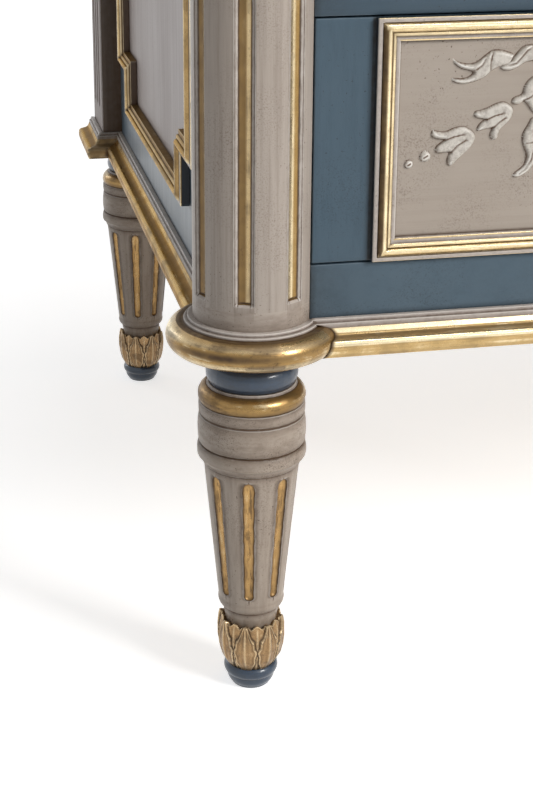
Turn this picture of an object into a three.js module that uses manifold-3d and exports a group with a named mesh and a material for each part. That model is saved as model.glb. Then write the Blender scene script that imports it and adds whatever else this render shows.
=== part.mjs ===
// Commode chest in the Louis XVI manner: two fluted columns, two square back posts,
// four turned and fluted legs, and three dovetailed drawers with ring pulls.
// Millimetres, +Z up, the drawers facing -Y. The origin is on the floor, under the middle of
// the box that the chest fills. Most pieces are worked out for the left side, from the axis of
// the front left column, and mirrored for the right side.
import * as THREE from 'three';
import { mergeVertices } from 'three/addons/utils/BufferGeometryUtils.js';
import Module from 'manifold-3d';

const wasm = await Module();
wasm.setup();

// Sizes of the whole chest
const chest = {
  columnSpan: 1110,
  sideSpan: 514,
  legHeight: 226,
  faceOffset: 18,
  seam: 0.3,
  overrun: 2,
};

// Front and back rails that tie the columns and the posts together
const rail = {
  thickness: 20,
  endHeight: 52,
  dividerHeight: 22,
  tenonLength: 12,
  tenonThickness: 8,
  tenonShoulder: 5,
};

const column = {
  radius: 35,
  grooveWidth: 8.6,
  grooveDepth: 3,
  grooveMargin: 34.2,
};

const post = {
  width: 70,
  depth: 66,
  grooveWidth: 8,
  grooveDepth: 2.5,
  grooveSpacing: 16,
  rabbetWidth: 12,
};

const side = {
  thickness: 18,
  tongueWidth: 6,
  tongueLength: 8,
};

const backPanel = { thickness: 8 };

const bottomBoard = {
  thickness: 8,
  lift: 10,
  grooveDepth: 6,
};

const top = {
  thickness: 24,
  overhang: 2.5,
  earRadius: 55,
  edgeRounding: 5,
};

// Gilt moulding round the foot of the body, and the same one upside down under the top
const skirt = {
  height: 20,
  projection: 14.4,
  ringRadius: 52.6,
  lap: 1,
};

// Gilt moulding planted on a drawer front or a side board
const bead = {
  width: 13.4,
  relief: 7.4,
};

const sidePattern = {
  frontMargin: 39,
  backMargin: 56,
  endMargin: 54,
  notchDepth: 43,
  notchHeight: 35,
  lift: 2,
};

const drawer = {
  openingHeight: 142.5,
  gap: 1,
  frontThickness: 22,
  sideThickness: 12,
  headroom: 20.5,
  endClearance: 48,
  backThickness: 12,
  backInset: 10,
  backDado: 5,
  panelThickness: 6,
  panelLift: 10,
  panelGroove: 6,
  sideClearance: 0.5,
  lap: 8,
  tailBase: 20,
  tailFlare: 3,
  mouldingInset: 35.6,
};

const runner = {
  height: 20,
  guideHeight: 24,
  ledgeWidth: 20,
  battenWidth: 40,
  battenThickness: 12,
  battenInset: 60,
};

// Turned leg, from the bun foot up; each member has its own radius and height
const leg = {
  footRadius: 16.5,
  footHeight: 14.6,
  cupRadius: 21.4,
  cupHeight: 33,
  neckRadius: 16.4,
  neckHeight: 4.4,
  shaftFootRadius: 19.2,
  shaftHeadRadius: 28.9,
  lowerRingRadius: 33,
  lowerRingHeight: 12.8,
  drumRadius: 32.7,
  drumHeight: 19,
  bandRadius: 31.9,
  bandHeight: 7.6,
  torusRadius: 32.6,
  torusHeight: 9.8,
  capRadius: 26.9,
  capHeight: 24.6,
  grooveWidth: 6.6,
  grooveDepth: 2.4,
  grooveMargin: 3.4,
  leafRise: 2.2,
  leafValley: 1.5,
  spigotRadius: 12,
  spigotLength: 40,
};

const pull = {
  offset: 250,
  plateRadius: 21,
  plateThickness: 4.6,
  bossRadius: 6.5,
  bossLength: 18,
  eyeHeight: 11.5,
  eyeClearance: 1.4,
  ringRadius: 21,
  wireRadius: 2.3,
  spikeRadius: 2.5,
  spikeLength: 14,
};

// Counts and angles
const drawerNames = ['lower', 'middle', 'upper'];
const columnGroovePitch = THREE.MathUtils.degToRad(360 / 7);
const columnGrooveShares = [-1.5, -0.5, 0.5, 1.5];
const legGrooveCount = 8;
const legGrooveTurn = THREE.MathUtils.degToRad(15);
const leafCount = 8;
const tailCount = 3;
const legSides = 16;
const columnSides = 32;
const ringSides = 24;
const smallSides = 12;
const pullSides = 16;
const wireSides = 6;
const boreSides = 12;
const earSteps = 14;

// Outlines as shares of the member that they shape: radius or projection, then height
const footShares = [[0, 0], [0.6, 0], [0.9, 0.22], [1, 0.58], [0.92, 1]];
const neckShares = [[1, 0], [1, 1]];
const lowerRingShares = [[0.895, 0], [0.97, 0.2], [1, 0.5], [0.98, 0.92], [0.945, 1]];
const drumShares = [[0.985, 0.07], [1, 0.5], [0.98, 0.93], [0.955, 1]];
const bandShares = [[1, 0.12], [1, 0.96]];
const torusShares = [[0.985, 0.12], [1, 0.4], [0.955, 0.76], [0.87, 1]];
const capShares = [
  [1.035, 0.02], [1.035, 0.07], [0.97, 0.12], [1.02, 0.38], [0.92, 0.66], [0.78, 0.78], [0.78, 1],
];
const cupShares = [
  [0.78, 0.01], [0.905, 0.22], [0.985, 0.44], [1, 0.66], [0.97, 0.84], [0.92, 0.97],
];
const cupCoreShare = 0.72;
const leafTipInnerShare = 0.74;
const skirtShares = [
  [0, 1], [0.21, 1], [0.24, 0.9], [0.31, 0.88], [0.33, 0.735], [0.42, 0.6],
  [0.55, 0.53], [0.77, 0.49], [0.92, 0.41], [1, 0.3], [1, 0.17], [0.95, 0.04],
  [0.88, 0], [0, 0],
];
const skirtRingShares = [
  [0, 0.98], [0.16, 0.97], [0.26, 0.88], [0.27, 0.82], [0.55, 0.79], [0.8, 0.7],
  [0.95, 0.55], [1, 0.4], [0.94, 0.2], [0.78, 0.05], [0.55, 0], [0, 0],
];
const beadShares = [
  [0, 0], [0, 0.58], [0.19, 0.6], [0.21, 0.53], [0.33, 0.85], [0.45, 1],
  [0.58, 0.89], [0.66, 0.69], [0.78, 0.6], [0.79, 0.46], [0.98, 0.41], [1, 0],
];
const grooveShares = [[-0.5, 1], [-0.42, -0.45], [-0.2, -1], [0.2, -1], [0.42, -0.45], [0.5, 1]];
const legGrooveShares = [[-0.5, 1], [-0.36, -0.6], [0, -1], [0.36, -0.6], [0.5, 1]];
const legGrooveStationShares = [[0, 0.3], [0.035, 0.85], [0.965, 0.85], [1, 0.3]];
const plateShares = [[1, 0], [1, 0.32], [0.82, 0.86], [0.4, 1]];
const bossShares = [[1, 0.32], [1, 0.82], [0.6, 0.96], [0, 1]];

// Places worked out from the sizes, mostly from the front left column's axis
const columnX = chest.columnSpan / 2;
const frontY = (top.earRadius - chest.sideSpan - post.depth / 2) / 2;
const bodyLow = chest.legHeight;
const drawerPitch = drawer.openingHeight + rail.dividerHeight;
const openingStack = drawer.openingHeight * drawerNames.length;
const dividerStack = rail.dividerHeight * (drawerNames.length - 1);
const bodyHigh = bodyLow + 2 * rail.endHeight + openingStack + dividerStack;
const flat = Math.sqrt(column.radius ** 2 - chest.faceOffset ** 2);
const faceY = -chest.faceOffset;
const uprightHigh = bodyHigh - skirt.height;
const railBack = faceY + rail.thickness;
const postFront = chest.sideSpan - post.depth / 2;
const postBack = chest.sideSpan + post.depth / 2;
const sideInner = -chest.faceOffset + side.thickness;
const tongueMiddle = -chest.faceOffset + side.thickness / 2;
const panelFront = postBack - backPanel.thickness;
const backRailBack = panelFront - chest.seam;
const backRailFront = backRailBack - rail.thickness;
const farX = chest.columnSpan;
const drawerEdge = flat + drawer.gap;
const drawerEnd = backRailFront - drawer.endClearance;
const sideHeight = drawer.openingHeight - drawer.headroom;
const shaftLow = leg.footHeight + leg.cupHeight + leg.neckHeight;
const headStack = leg.lowerRingHeight + leg.drumHeight + leg.bandHeight + leg.torusHeight;
const shaftHigh = chest.legHeight - leg.capHeight - headStack;

const paint = {
  taupe: { color: 0xa59a8e, roughness: 0.55, metalness: 0 },
  blue: { color: 0x5a6b7a, roughness: 0.5, metalness: 0 },
  gilt: { color: 0xc09a4e, roughness: 0.38, metalness: 0.75 },
  timber: { color: 0xb08a5e, roughness: 0.7, metalness: 0 },
  plywood: { color: 0xc6a77c, roughness: 0.75, metalness: 0 },
  brass: { color: 0xb8924a, roughness: 0.32, metalness: 0.9 },
};

const model = new THREE.Group();

// Helpers for closed meshes

function enclosedVolume(geometry) {
  const places = geometry.getAttribute('position');
  const corners = geometry.index.array;
  const [a, b, c] = [new THREE.Vector3(), new THREE.Vector3(), new THREE.Vector3()];
  let total = 0;
  for (let i = 0; i < corners.length; i += 3) {
    a.fromBufferAttribute(places, corners[i]);
    b.fromBufferAttribute(places, corners[i + 1]);
    c.fromBufferAttribute(places, corners[i + 2]);
    total += a.dot(b.cross(c)) / 6;
  }
  return total;
}

// One closed mesh with shared corners, no collapsed faces and every face pointing out
function closed(geometry) {
  const bare = new THREE.BufferGeometry();
  bare.setAttribute('position', geometry.getAttribute('position'));
  bare.setIndex(geometry.index);
  const merged = mergeVertices(bare);
  const corners = merged.index.array;
  const kept = [];
  for (let i = 0; i < corners.length; i += 3) {
    const [a, b, c] = [corners[i], corners[i + 1], corners[i + 2]];
    if (a !== b && b !== c && c !== a) kept.push(a, b, c);
  }
  merged.setIndex(kept);
  if (enclosedVolume(merged) < 0) {
    for (let i = 0; i < kept.length; i += 3) [kept[i], kept[i + 1]] = [kept[i + 1], kept[i]];
    merged.setIndex(kept);
  }
  return merged;
}

function toManifold(geometry) {
  const shape = closed(geometry);
  return new wasm.Manifold(new wasm.Mesh({
    numProp: 3,
    vertProperties: new Float32Array(shape.getAttribute('position').array),
    triVerts: new Uint32Array(shape.index.array),
  }));
}

function fromManifold(manifold) {
  const mesh = manifold.getMesh();
  const geometry = new THREE.BufferGeometry();
  geometry.setAttribute('position', new THREE.BufferAttribute(mesh.vertProperties, 3));
  geometry.setIndex(new THREE.BufferAttribute(mesh.triVerts, 1));
  return geometry;
}

function cut(base, tools) {
  let result = toManifold(base);
  for (const tool of tools) result = result.subtract(toManifold(tool));
  return fromManifold(result);
}

function join(pieces) {
  let result = toManifold(pieces[0]);
  for (const piece of pieces.slice(1)) result = result.add(toManifold(piece));
  return fromManifold(result);
}

function mirrored(geometry) {
  return closed(geometry.clone().scale(-1, 1, 1));
}

function box(x, y, z) {
  const size = [x[1] - x[0], y[1] - y[0], z[1] - z[0]];
  const middle = [(x[0] + x[1]) / 2, (y[0] + y[1]) / 2, (z[0] + z[1]) / 2];
  return new THREE.BoxGeometry(...size).translate(...middle);
}

// How the flat drawing of a prism or a sweep stands in the chest
const standing = {
  x: new THREE.Matrix4().makeBasis(
    new THREE.Vector3(0, 1, 0), new THREE.Vector3(0, 0, 1), new THREE.Vector3(1, 0, 0)),
  y: new THREE.Matrix4().makeBasis(
    new THREE.Vector3(1, 0, 0), new THREE.Vector3(0, 0, 1), new THREE.Vector3(0, 1, 0)),
  z: new THREE.Matrix4(),
  minusX: new THREE.Matrix4().makeBasis(
    new THREE.Vector3(0, 1, 0), new THREE.Vector3(0, 0, 1), new THREE.Vector3(-1, 0, 0)),
  minusY: new THREE.Matrix4().makeBasis(
    new THREE.Vector3(1, 0, 0), new THREE.Vector3(0, 0, 1), new THREE.Vector3(0, -1, 0)),
};

function prism(axis, outline, low, high) {
  const shape = new THREE.Shape(outline.map(([a, b]) => new THREE.Vector2(a, b)));
  const solid = new THREE.ExtrudeGeometry(shape, { depth: high - low, bevelEnabled: false });
  return closed(solid.translate(0, 0, low).applyMatrix4(standing[axis]));
}

function turned(profile, sides) {
  const points = profile.map(([radius, height]) => new THREE.Vector2(radius, height));
  return new THREE.LatheGeometry(points, sides).rotateX(Math.PI / 2);
}

function shaped(shares, width, height) {
  return shares.map(([across, up]) => [across * width, up * height]);
}

function loft(rows, isClosed) {
  const places = rows.flat();
  const count = rows[0].length;
  const corners = [];
  const spans = isClosed ? rows.length : rows.length - 1;
  for (let i = 0; i < spans; i += 1) {
    const here = i * count;
    const next = ((i + 1) % rows.length) * count;
    for (let j = 0; j < count; j += 1) {
      const k = (j + 1) % count;
      corners.push(here + j, next + j, next + k, here + j, next + k, here + k);
    }
  }
  const geometry = new THREE.BufferGeometry();
  return { geometry, places, corners, count };
}

function finished({ geometry, places, corners }) {
  geometry.setAttribute('position', new THREE.Float32BufferAttribute(
    places.flatMap((place) => [place.x, place.y, place.z]), 3));
  geometry.setIndex(corners);
  return geometry;
}

// A moulding swept along straight runs with mitred corners. The profile's first number lies
// to the right of the path's direction, its second one along the third axis.
function sweep(path, profile, isClosed, axis) {
  const directions = path.map((point, i) => {
    const next = path[(i + 1) % path.length];
    return new THREE.Vector2(next[0] - point[0], next[1] - point[1]).normalize();
  });
  const rows = path.map((point, i) => {
    const before = directions[(i - 1 + path.length) % path.length];
    const after = directions[i];
    const first = isClosed || i > 0 ? before : after;
    const second = isClosed || i < path.length - 1 ? after : before;
    const normalA = new THREE.Vector2(first.y, -first.x);
    const normalB = new THREE.Vector2(second.y, -second.x);
    const mitre = normalA.clone().add(normalB).divideScalar(1 + normalA.dot(normalB));
    return profile.map(([offset, height]) => new THREE.Vector3(
      point[0] + mitre.x * offset, point[1] + mitre.y * offset, height));
  });
  const skin = loft(rows, isClosed);
  if (!isClosed) {
    const face = profile.map(([a, b]) => new THREE.Vector2(a, b));
    const last = (rows.length - 1) * skin.count;
    for (const [a, b, c] of THREE.ShapeUtils.triangulateShape(face, [])) {
      const turn = THREE.ShapeUtils.area([face[a], face[b], face[c]]) > 0;
      const sorted = turn ? [a, b, c] : [a, c, b];
      const outline = THREE.ShapeUtils.area(face) > 0;
      const start = outline ? sorted : [sorted[0], sorted[2], sorted[1]];
      skin.corners.push(start[0], start[1], start[2]);
      skin.corners.push(start[0] + last, start[2] + last, start[1] + last);
    }
  }
  return closed(finished(skin).applyMatrix4(standing[axis]));
}

function fromColumn(geometry) {
  return geometry.translate(-columnX, frontY, 0);
}

function addPiece(name, geometry, look) {
  const shown = closed(geometry).toNonIndexed();
  shown.computeVertexNormals();
  const mesh = new THREE.Mesh(shown, new THREE.MeshStandardMaterial(look));
  mesh.name = name;
  model.add(mesh);
}

function addPair(name, geometry, look) {
  addPiece(`${name}_left`, geometry, look);
  addPiece(`${name}_right`, mirrored(geometry), look);
}

// Rails, each with its foot and head height and the names of their nodes
function drawerFloor(index) {
  return bodyLow + rail.endHeight + index * drawerPitch;
}

const frontRails = [
  { name: 'bottom_rail', low: bodyLow, high: bodyLow + rail.endHeight },
  { name: 'lower_divider_rail', low: drawerFloor(1) - rail.dividerHeight, high: drawerFloor(1) },
  { name: 'upper_divider_rail', low: drawerFloor(2) - rail.dividerHeight, high: drawerFloor(2) },
  { name: 'top_rail', low: bodyHigh - rail.endHeight, high: uprightHigh },
];
const backRails = [
  { name: 'back_rail_bottom', low: bodyLow, high: bodyLow + rail.endHeight },
  { name: 'back_rail_top', low: bodyHigh - rail.endHeight, high: uprightHigh },
];

// One rail between two uprights: a stick with a tenon at each end
function railStick({ low, high }, start, front) {
  const middle = front + rail.thickness / 2;
  const tenonY = [middle - rail.tenonThickness / 2, middle + rail.tenonThickness / 2];
  const tenonZ = [low + rail.tenonShoulder, high - rail.tenonShoulder];
  const first = start + chest.seam;
  const stick = box([first, farX - first], [front, front + rail.thickness], [low, high]);
  const reach = first - rail.tenonLength;
  return join([stick, box([reach, farX - reach], tenonY, tenonZ)]);
}

// The hole in an upright that takes a rail's tenon
function mortise({ low, high }, start, front) {
  const middle = front + rail.thickness / 2;
  const half = rail.tenonThickness / 2 + chest.seam;
  const inner = start - rail.tenonLength;
  return box(
    [inner - chest.seam, start + chest.overrun],
    [middle - half, middle + half],
    [low + rail.tenonShoulder - chest.seam, high - rail.tenonShoulder + chest.seam]);
}

const boardGroove = [
  bodyLow + bottomBoard.lift - chest.seam,
  bodyLow + bottomBoard.lift + bottomBoard.thickness + chest.seam,
];

function buildRails() {
  for (const spec of frontRails) {
    let stick = railStick(spec, flat, faceY);
    if (spec.low === bodyLow) {
      const groove = [railBack - bottomBoard.grooveDepth, railBack + chest.overrun];
      stick = cut(stick, [box([0, farX], groove, boardGroove)]);
    }
    addPiece(spec.name, fromColumn(stick), paint.blue);
  }
  for (const spec of backRails) {
    let stick = railStick(spec, post.width / 2, backRailFront);
    if (spec.low === bodyLow) {
      const groove = [backRailFront - chest.overrun, backRailFront + bottomBoard.grooveDepth];
      stick = cut(stick, [box([0, farX], groove, boardGroove)]);
    }
    addPiece(spec.name, fromColumn(stick), paint.timber);
  }
}

// A straight flute: a bar of the groove's section, standing at a face that looks to -Y
function fluteBar(width, depth, low, high) {
  const section = grooveShares.map(([across, out]) => [across * width, -out * depth]);
  return prism('z', section, low, high);
}

// The hole in the foot of an upright that takes the leg's spigot
function spigotBore() {
  const radius = leg.spigotRadius + chest.seam;
  const [low, high] = [bodyLow - chest.overrun, bodyLow + leg.spigotLength + chest.seam];
  const bore = turned([[0, low], [radius, low], [radius, high], [0, high]], legSides);
  return bore.rotateZ(Math.PI / legSides - legGrooveTurn);
}

// Column: a turned shaft, flattened where the drawer fronts and the side board meet it
function buildColumns() {
  const reach = column.radius + chest.overrun;
  const shaft = turned([
    [0, bodyLow], [column.radius, bodyLow], [column.radius, uprightHigh], [0, uprightHigh],
  ], columnSides);
  const ends = [bodyLow - chest.overrun, bodyHigh + chest.overrun];
  const tools = [
    box([flat, reach], [-reach, reach], ends),
    box([-reach, reach], [flat, reach], ends),
    spigotBore(),
  ];
  const half = side.tongueWidth / 2 + chest.seam;
  tools.push(box(
    [tongueMiddle - half, tongueMiddle + half],
    [flat - side.tongueLength, reach],
    ends));
  for (const share of columnGrooveShares) {
    const angle = -Math.PI / 4 - share * columnGroovePitch;
    tools.push(fluteBar(column.grooveWidth, column.grooveDepth,
      bodyLow + column.grooveMargin, bodyHigh - column.grooveMargin)
      .translate(0, -column.radius, 0)
      .rotateZ(angle));
  }
  for (const spec of frontRails) tools.push(mortise(spec, flat, faceY));
  addPair('column', fromColumn(cut(shaft, tools)), paint.taupe);
}

// Square back post with three flutes in its outer face, a groove for the side board and a
// rabbet for the back panel
function buildPosts() {
  const [x, y] = [post.width / 2, post.depth / 2];
  const half = side.tongueWidth / 2 + chest.seam;
  const rabbet = y - backPanel.thickness - chest.seam;
  const outline = [
    [-x, -y], [tongueMiddle - half, -y], [tongueMiddle - half, side.tongueLength - y],
    [tongueMiddle + half, side.tongueLength - y], [tongueMiddle + half, -y], [x, -y],
    [x, rabbet], [x - post.rabbetWidth, rabbet], [x - post.rabbetWidth, y], [-x, y],
  ];
  const tools = [spigotBore()];
  for (const step of [-1, 0, 1]) {
    tools.push(fluteBar(post.grooveWidth, post.grooveDepth,
      bodyLow + column.grooveMargin, bodyHigh - column.grooveMargin)
      .translate(0, -x, 0)
      .rotateZ(-Math.PI / 2)
      .translate(0, step * post.grooveSpacing, 0));
  }
  for (const spec of backRails) tools.push(mortise(spec, x, backRailFront - chest.sideSpan));
  const stick = cut(prism('z', outline, bodyLow, uprightHigh), tools);
  addPair('back_post', fromColumn(stick.translate(0, chest.sideSpan, 0)), paint.taupe);
}

// Side board, tongued into the column and the post
function buildSides() {
  const [x0, x1] = [-chest.faceOffset, sideInner];
  const front = flat + chest.seam;
  const back = postFront - chest.seam;
  const tongue = side.tongueWidth / 2;
  const tip = side.tongueLength - chest.seam;
  const outline = [
    [x0, front], [tongueMiddle - tongue, front], [tongueMiddle - tongue, flat - tip],
    [tongueMiddle + tongue, flat - tip], [tongueMiddle + tongue, front], [x1, front],
    [x1, back], [tongueMiddle + tongue, back], [tongueMiddle + tongue, postFront + tip],
    [tongueMiddle - tongue, postFront + tip], [tongueMiddle - tongue, back], [x0, back],
  ];
  addPair('side_board', fromColumn(prism('z', outline, bodyLow, uprightHigh)), paint.blue);
}

// The outline of the bead; a lift makes its two outer faces taller
function beadProfile(lift) {
  const profile = shaped(beadShares, bead.width, bead.relief);
  return profile.map(([across, out]) => [across, out + chest.seam + (out > 0 ? lift : 0)]);
}

// Gilt frame on the side board, with a square notch turned in at each corner
function buildSideMouldings() {
  const { notchDepth, notchHeight } = sidePattern;
  const frontEdge = flat + sidePattern.frontMargin;
  const backEdge = postFront - sidePattern.backMargin;
  const low = bodyLow + sidePattern.endMargin;
  const high = bodyHigh - sidePattern.endMargin;
  const outline = [
    [frontEdge, low + notchHeight], [frontEdge, high - notchHeight],
    [frontEdge + notchDepth, high - notchHeight], [frontEdge + notchDepth, high],
    [backEdge - notchDepth, high], [backEdge - notchDepth, high - notchHeight],
    [backEdge, high - notchHeight], [backEdge, low + notchHeight],
    [backEdge - notchDepth, low + notchHeight], [backEdge - notchDepth, low],
    [frontEdge + notchDepth, low], [frontEdge + notchDepth, low + notchHeight],
  ];
  const frame = sweep(outline, beadProfile(sidePattern.lift), true, 'minusX');
  addPair('side_moulding', fromColumn(frame.translate(-chest.faceOffset, 0, 0)), paint.gilt);
}

// Skirt mouldings: a ring round each column, and straight runs coped against the rings

function skirtRingProfile(spread) {
  const inner = column.radius + chest.seam;
  const width = skirt.ringRadius - inner;
  return skirtRingShares.map(([out, up]) => [inner + out * width + spread, up * skirt.height]);
}

function skirtRing() {
  const profile = skirtRingProfile(0);
  const ring = turned([...profile, profile[0]], ringSides);
  const near = -chest.faceOffset - chest.seam;
  const far = skirt.ringRadius + chest.overrun;
  return cut(ring, [box([near, far], [near, far], [-chest.overrun, skirt.height + chest.overrun])]);
}

function skirtRingSpace() {
  const profile = skirtRingProfile(chest.seam);
  const high = [profile[0][0], skirt.height + chest.overrun];
  const low = [profile[profile.length - 2][0], -chest.overrun];
  return turned([
    [0, high[1]], high, ...profile.slice(0, -1), low, [0, low[1]],
  ], ringSides);
}

function skirtFrontRun(stand) {
  const y = faceY - stand;
  const profile = shaped(skirtShares, skirt.projection, skirt.height);
  return sweep([[flat, y], [farX - flat, y]], profile, false, 'z');
}

function skirtSideRun(stand) {
  const sideX = -chest.faceOffset - stand;
  const postX = -post.width / 2 - stand;
  const turnY = postFront - stand;
  const path = [[postX, postBack], [postX, turnY], [sideX, turnY], [sideX, flat]];
  return sweep(path, shaped(skirtShares, skirt.projection, skirt.height), false, 'z');
}

function buildBaseMouldings() {
  const place = (geometry) => fromColumn(geometry.translate(0, 0, bodyLow));
  const space = skirtRingSpace();
  const otherSpace = skirtRingSpace().translate(farX, 0, 0);
  addPair('base_ring', place(skirtRing()), paint.gilt);
  const front = cut(skirtFrontRun(chest.seam), [space, otherSpace]);
  addPiece('base_moulding_front', place(front), paint.gilt);
  addPair('base_moulding', place(cut(skirtSideRun(chest.seam), [space])), paint.gilt);
}

// Under-top: one flat board on the uprights, its edge moulded as the skirt upside down
function buildUnderTop() {
  const profile = skirtRingProfile(0);
  const disc = turned([[0, skirt.height], ...profile.slice(0, -1), [0, 0]], ringSides);
  const flank = skirtSideRun(0);
  const face = chest.faceOffset + skirt.lap;
  const postFace = post.width / 2 + skirt.lap;
  const shoulder = postFront - skirt.lap;
  const left = [[-face, -face], [-face, shoulder], [-postFace, shoulder], [-postFace, postBack]];
  const right = left.map(([x, y]) => [farX - x, y]).reverse();
  const core = prism('z', [...left, ...right], 0, skirt.height);
  const toRight = (geometry) => closed(geometry.clone().scale(-1, 1, 1).translate(farX, 0, 0));
  const board = join([core, skirtFrontRun(0), flank, toRight(flank), disc, toRight(disc)]);
  const height = bodyHigh - chest.seam;
  const turnedOver = closed(board.scale(1, 1, -1).translate(0, 0, height));
  const trim = box([-columnX, farX + columnX], [faceY - columnX, postBack + columnX],
    [bodyHigh - chest.seam - skirt.height, uprightHigh + chest.seam]);
  addPiece('under_top', fromColumn(cut(turnedOver, [trim])), paint.gilt);
}

// Top board: straight edges, a round ear over each column and a square one over each post
function buildTop() {
  const proud = chest.faceOffset + skirt.projection + top.overhang;
  const reach = Math.sqrt(top.earRadius ** 2 - proud ** 2);
  const start = Math.atan2(-proud, reach);
  const end = Math.atan2(reach, -proud) - 2 * Math.PI;
  const ear = [];
  for (let i = 0; i <= earSteps; i += 1) {
    const angle = start + (end - start) * i / earSteps;
    ear.push([top.earRadius * Math.cos(angle), top.earRadius * Math.sin(angle)]);
  }
  const outX = post.width / 2 + skirt.projection + top.overhang;
  const shoulder = postFront - skirt.projection - top.overhang;
  const left = [...ear, [-proud, shoulder], [-outX, shoulder], [-outX, postBack]];
  const right = left.map(([x, y]) => [farX - x, y]).reverse();
  const shape = new THREE.Shape([...left, ...right].map(([x, y]) => new THREE.Vector2(x, y)));
  const board = new THREE.ExtrudeGeometry(shape, {
    depth: top.thickness - 2 * top.edgeRounding,
    bevelSize: top.edgeRounding,
    bevelOffset: -top.edgeRounding,
    bevelThickness: top.edgeRounding,
    bevelSegments: 1,
  });
  board.translate(0, 0, bodyHigh + chest.seam + top.edgeRounding);
  addPiece('top_board', fromColumn(board), paint.taupe);
}

function buildBack() {
  const start = post.width / 2 - post.rabbetWidth + chest.seam;
  const panel = box([start, farX - start], [panelFront, postBack], [bodyLow, uprightHigh]);
  addPiece('back_panel', fromColumn(panel), paint.plywood);
}

// Bottom board in the grooves of the two bottom rails, notched round the four uprights
function buildBottom() {
  const tongue = bottomBoard.grooveDepth - chest.seam;
  const [x0, y0] = [sideInner + chest.seam, railBack - tongue];
  const y1 = backRailFront + tongue;
  const cornerX = [column.radius + chest.seam, post.width / 2 + chest.seam];
  const cornerY = [column.radius + chest.seam, postFront - chest.seam];
  const left = [
    [cornerX[0], y0], [cornerX[0], cornerY[0]], [x0, cornerY[0]],
    [x0, cornerY[1]], [cornerX[1], cornerY[1]], [cornerX[1], y1],
  ];
  const right = left.map(([x, y]) => [farX - x, y]).reverse();
  const low = bodyLow + bottomBoard.lift;
  const board = prism('z', [...left, ...right], low, low + bottomBoard.thickness);
  addPiece('bottom_board', fromColumn(board), paint.plywood);
}

// Turned leg: members stacked from the floor, flutes cut in the shaft, a carved cup of leaves
function legProfile() {
  const profile = [];
  const member = (shares, radius, low, height) => {
    for (const [out, up] of shares) profile.push([out * radius, low + up * height]);
  };
  const cupRadius = cupCoreShare * leg.cupRadius;
  const neckLow = leg.footHeight + leg.cupHeight;
  let level = shaftHigh;
  member(footShares, leg.footRadius, 0, leg.footHeight);
  profile.push([cupRadius, leg.footHeight]);
  profile.push([cupRadius, neckLow]);
  member(neckShares, leg.neckRadius, neckLow, leg.neckHeight);
  profile.push([leg.shaftFootRadius, shaftLow + (leg.shaftFootRadius - leg.neckRadius)]);
  profile.push([leg.shaftHeadRadius, shaftHigh]);
  member(lowerRingShares, leg.lowerRingRadius, level, leg.lowerRingHeight);
  level += leg.lowerRingHeight;
  member(drumShares, leg.drumRadius, level, leg.drumHeight);
  level += leg.drumHeight;
  member(bandShares, leg.bandRadius, level, leg.bandHeight);
  level += leg.bandHeight;
  member(torusShares, leg.torusRadius, level, leg.torusHeight);
  level += leg.torusHeight;
  member(capShares, leg.capRadius, level, leg.capHeight - chest.seam);
  profile.push([leg.spigotRadius, chest.legHeight - chest.seam]);
  profile.push([leg.spigotRadius, chest.legHeight + leg.spigotLength]);
  profile.push([0, chest.legHeight + leg.spigotLength]);
  return profile;
}

function legFlute(turn) {
  const low = shaftLow + leg.grooveMargin;
  const high = shaftHigh - leg.grooveMargin;
  const slope = (leg.shaftHeadRadius - leg.shaftFootRadius) / (shaftHigh - shaftLow);
  const rows = legGrooveStationShares.map(([along, size]) => {
    const level = low + along * (high - low);
    const radius = leg.shaftFootRadius + slope * (level - shaftLow);
    const grow = size * radius / leg.shaftHeadRadius;
    return legGrooveShares.map(([across, out]) => new THREE.Vector3(
      across * leg.grooveWidth * grow,
      -radius - out * leg.grooveDepth * (out > 0 ? 1 : grow),
      level));
  });
  const skin = loft(rows, false);
  const last = (rows.length - 1) * skin.count;
  for (let j = 1; j < skin.count - 1; j += 1) {
    skin.corners.push(0, j, j + 1);
    skin.corners.push(last, last + j + 1, last + j);
  }
  return closed(finished(skin).rotateZ(turn));
}

function leafCup() {
  const low = leg.footHeight;
  const rows = cupShares.map(([out, up], row) => {
    const points = [];
    for (let i = 0; i < 2 * leafCount; i += 1) {
      const isTip = i % 2 === 0;
      const angle = Math.PI * i / leafCount;
      const isTop = row === cupShares.length - 1;
      const radius = out * leg.cupRadius - (isTip || row === 0 ? 0 : leg.leafValley);
      const rise = isTop ? (isTip ? leg.leafRise : -leg.leafRise) : 0;
      const level = low + up * leg.cupHeight + rise;
      points.push(new THREE.Vector3(radius * Math.sin(angle), -radius * Math.cos(angle), level));
    }
    return points;
  });
  const inner = rows[rows.length - 1].map((point) => new THREE.Vector3(
    point.x * leafTipInnerShare, point.y * leafTipInnerShare, low + leg.cupHeight - leg.leafRise));
  rows.push(inner);
  const skin = loft(rows, false);
  const last = (rows.length - 1) * skin.count;
  for (let j = 1; j < skin.count - 1; j += 1) {
    skin.corners.push(0, j, j + 1);
    skin.corners.push(last, last + j + 1, last + j);
  }
  return closed(finished(skin).rotateZ(-legGrooveTurn));
}

function buildLegs() {
  const flutes = [];
  for (let i = 0; i < legGrooveCount; i += 1) {
    flutes.push(legFlute(-legGrooveTurn + 2 * Math.PI * i / legGrooveCount));
  }
  const lathed = turned(legProfile(), legSides).rotateZ(Math.PI / legSides - legGrooveTurn);
  const stick = cut(join([lathed, leafCup()]), flutes);
  addPair('front_leg', fromColumn(stick.clone()), paint.taupe);
  addPair('back_leg', fromColumn(stick.clone().translate(0, chest.sideSpan, 0)), paint.taupe);
}

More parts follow.
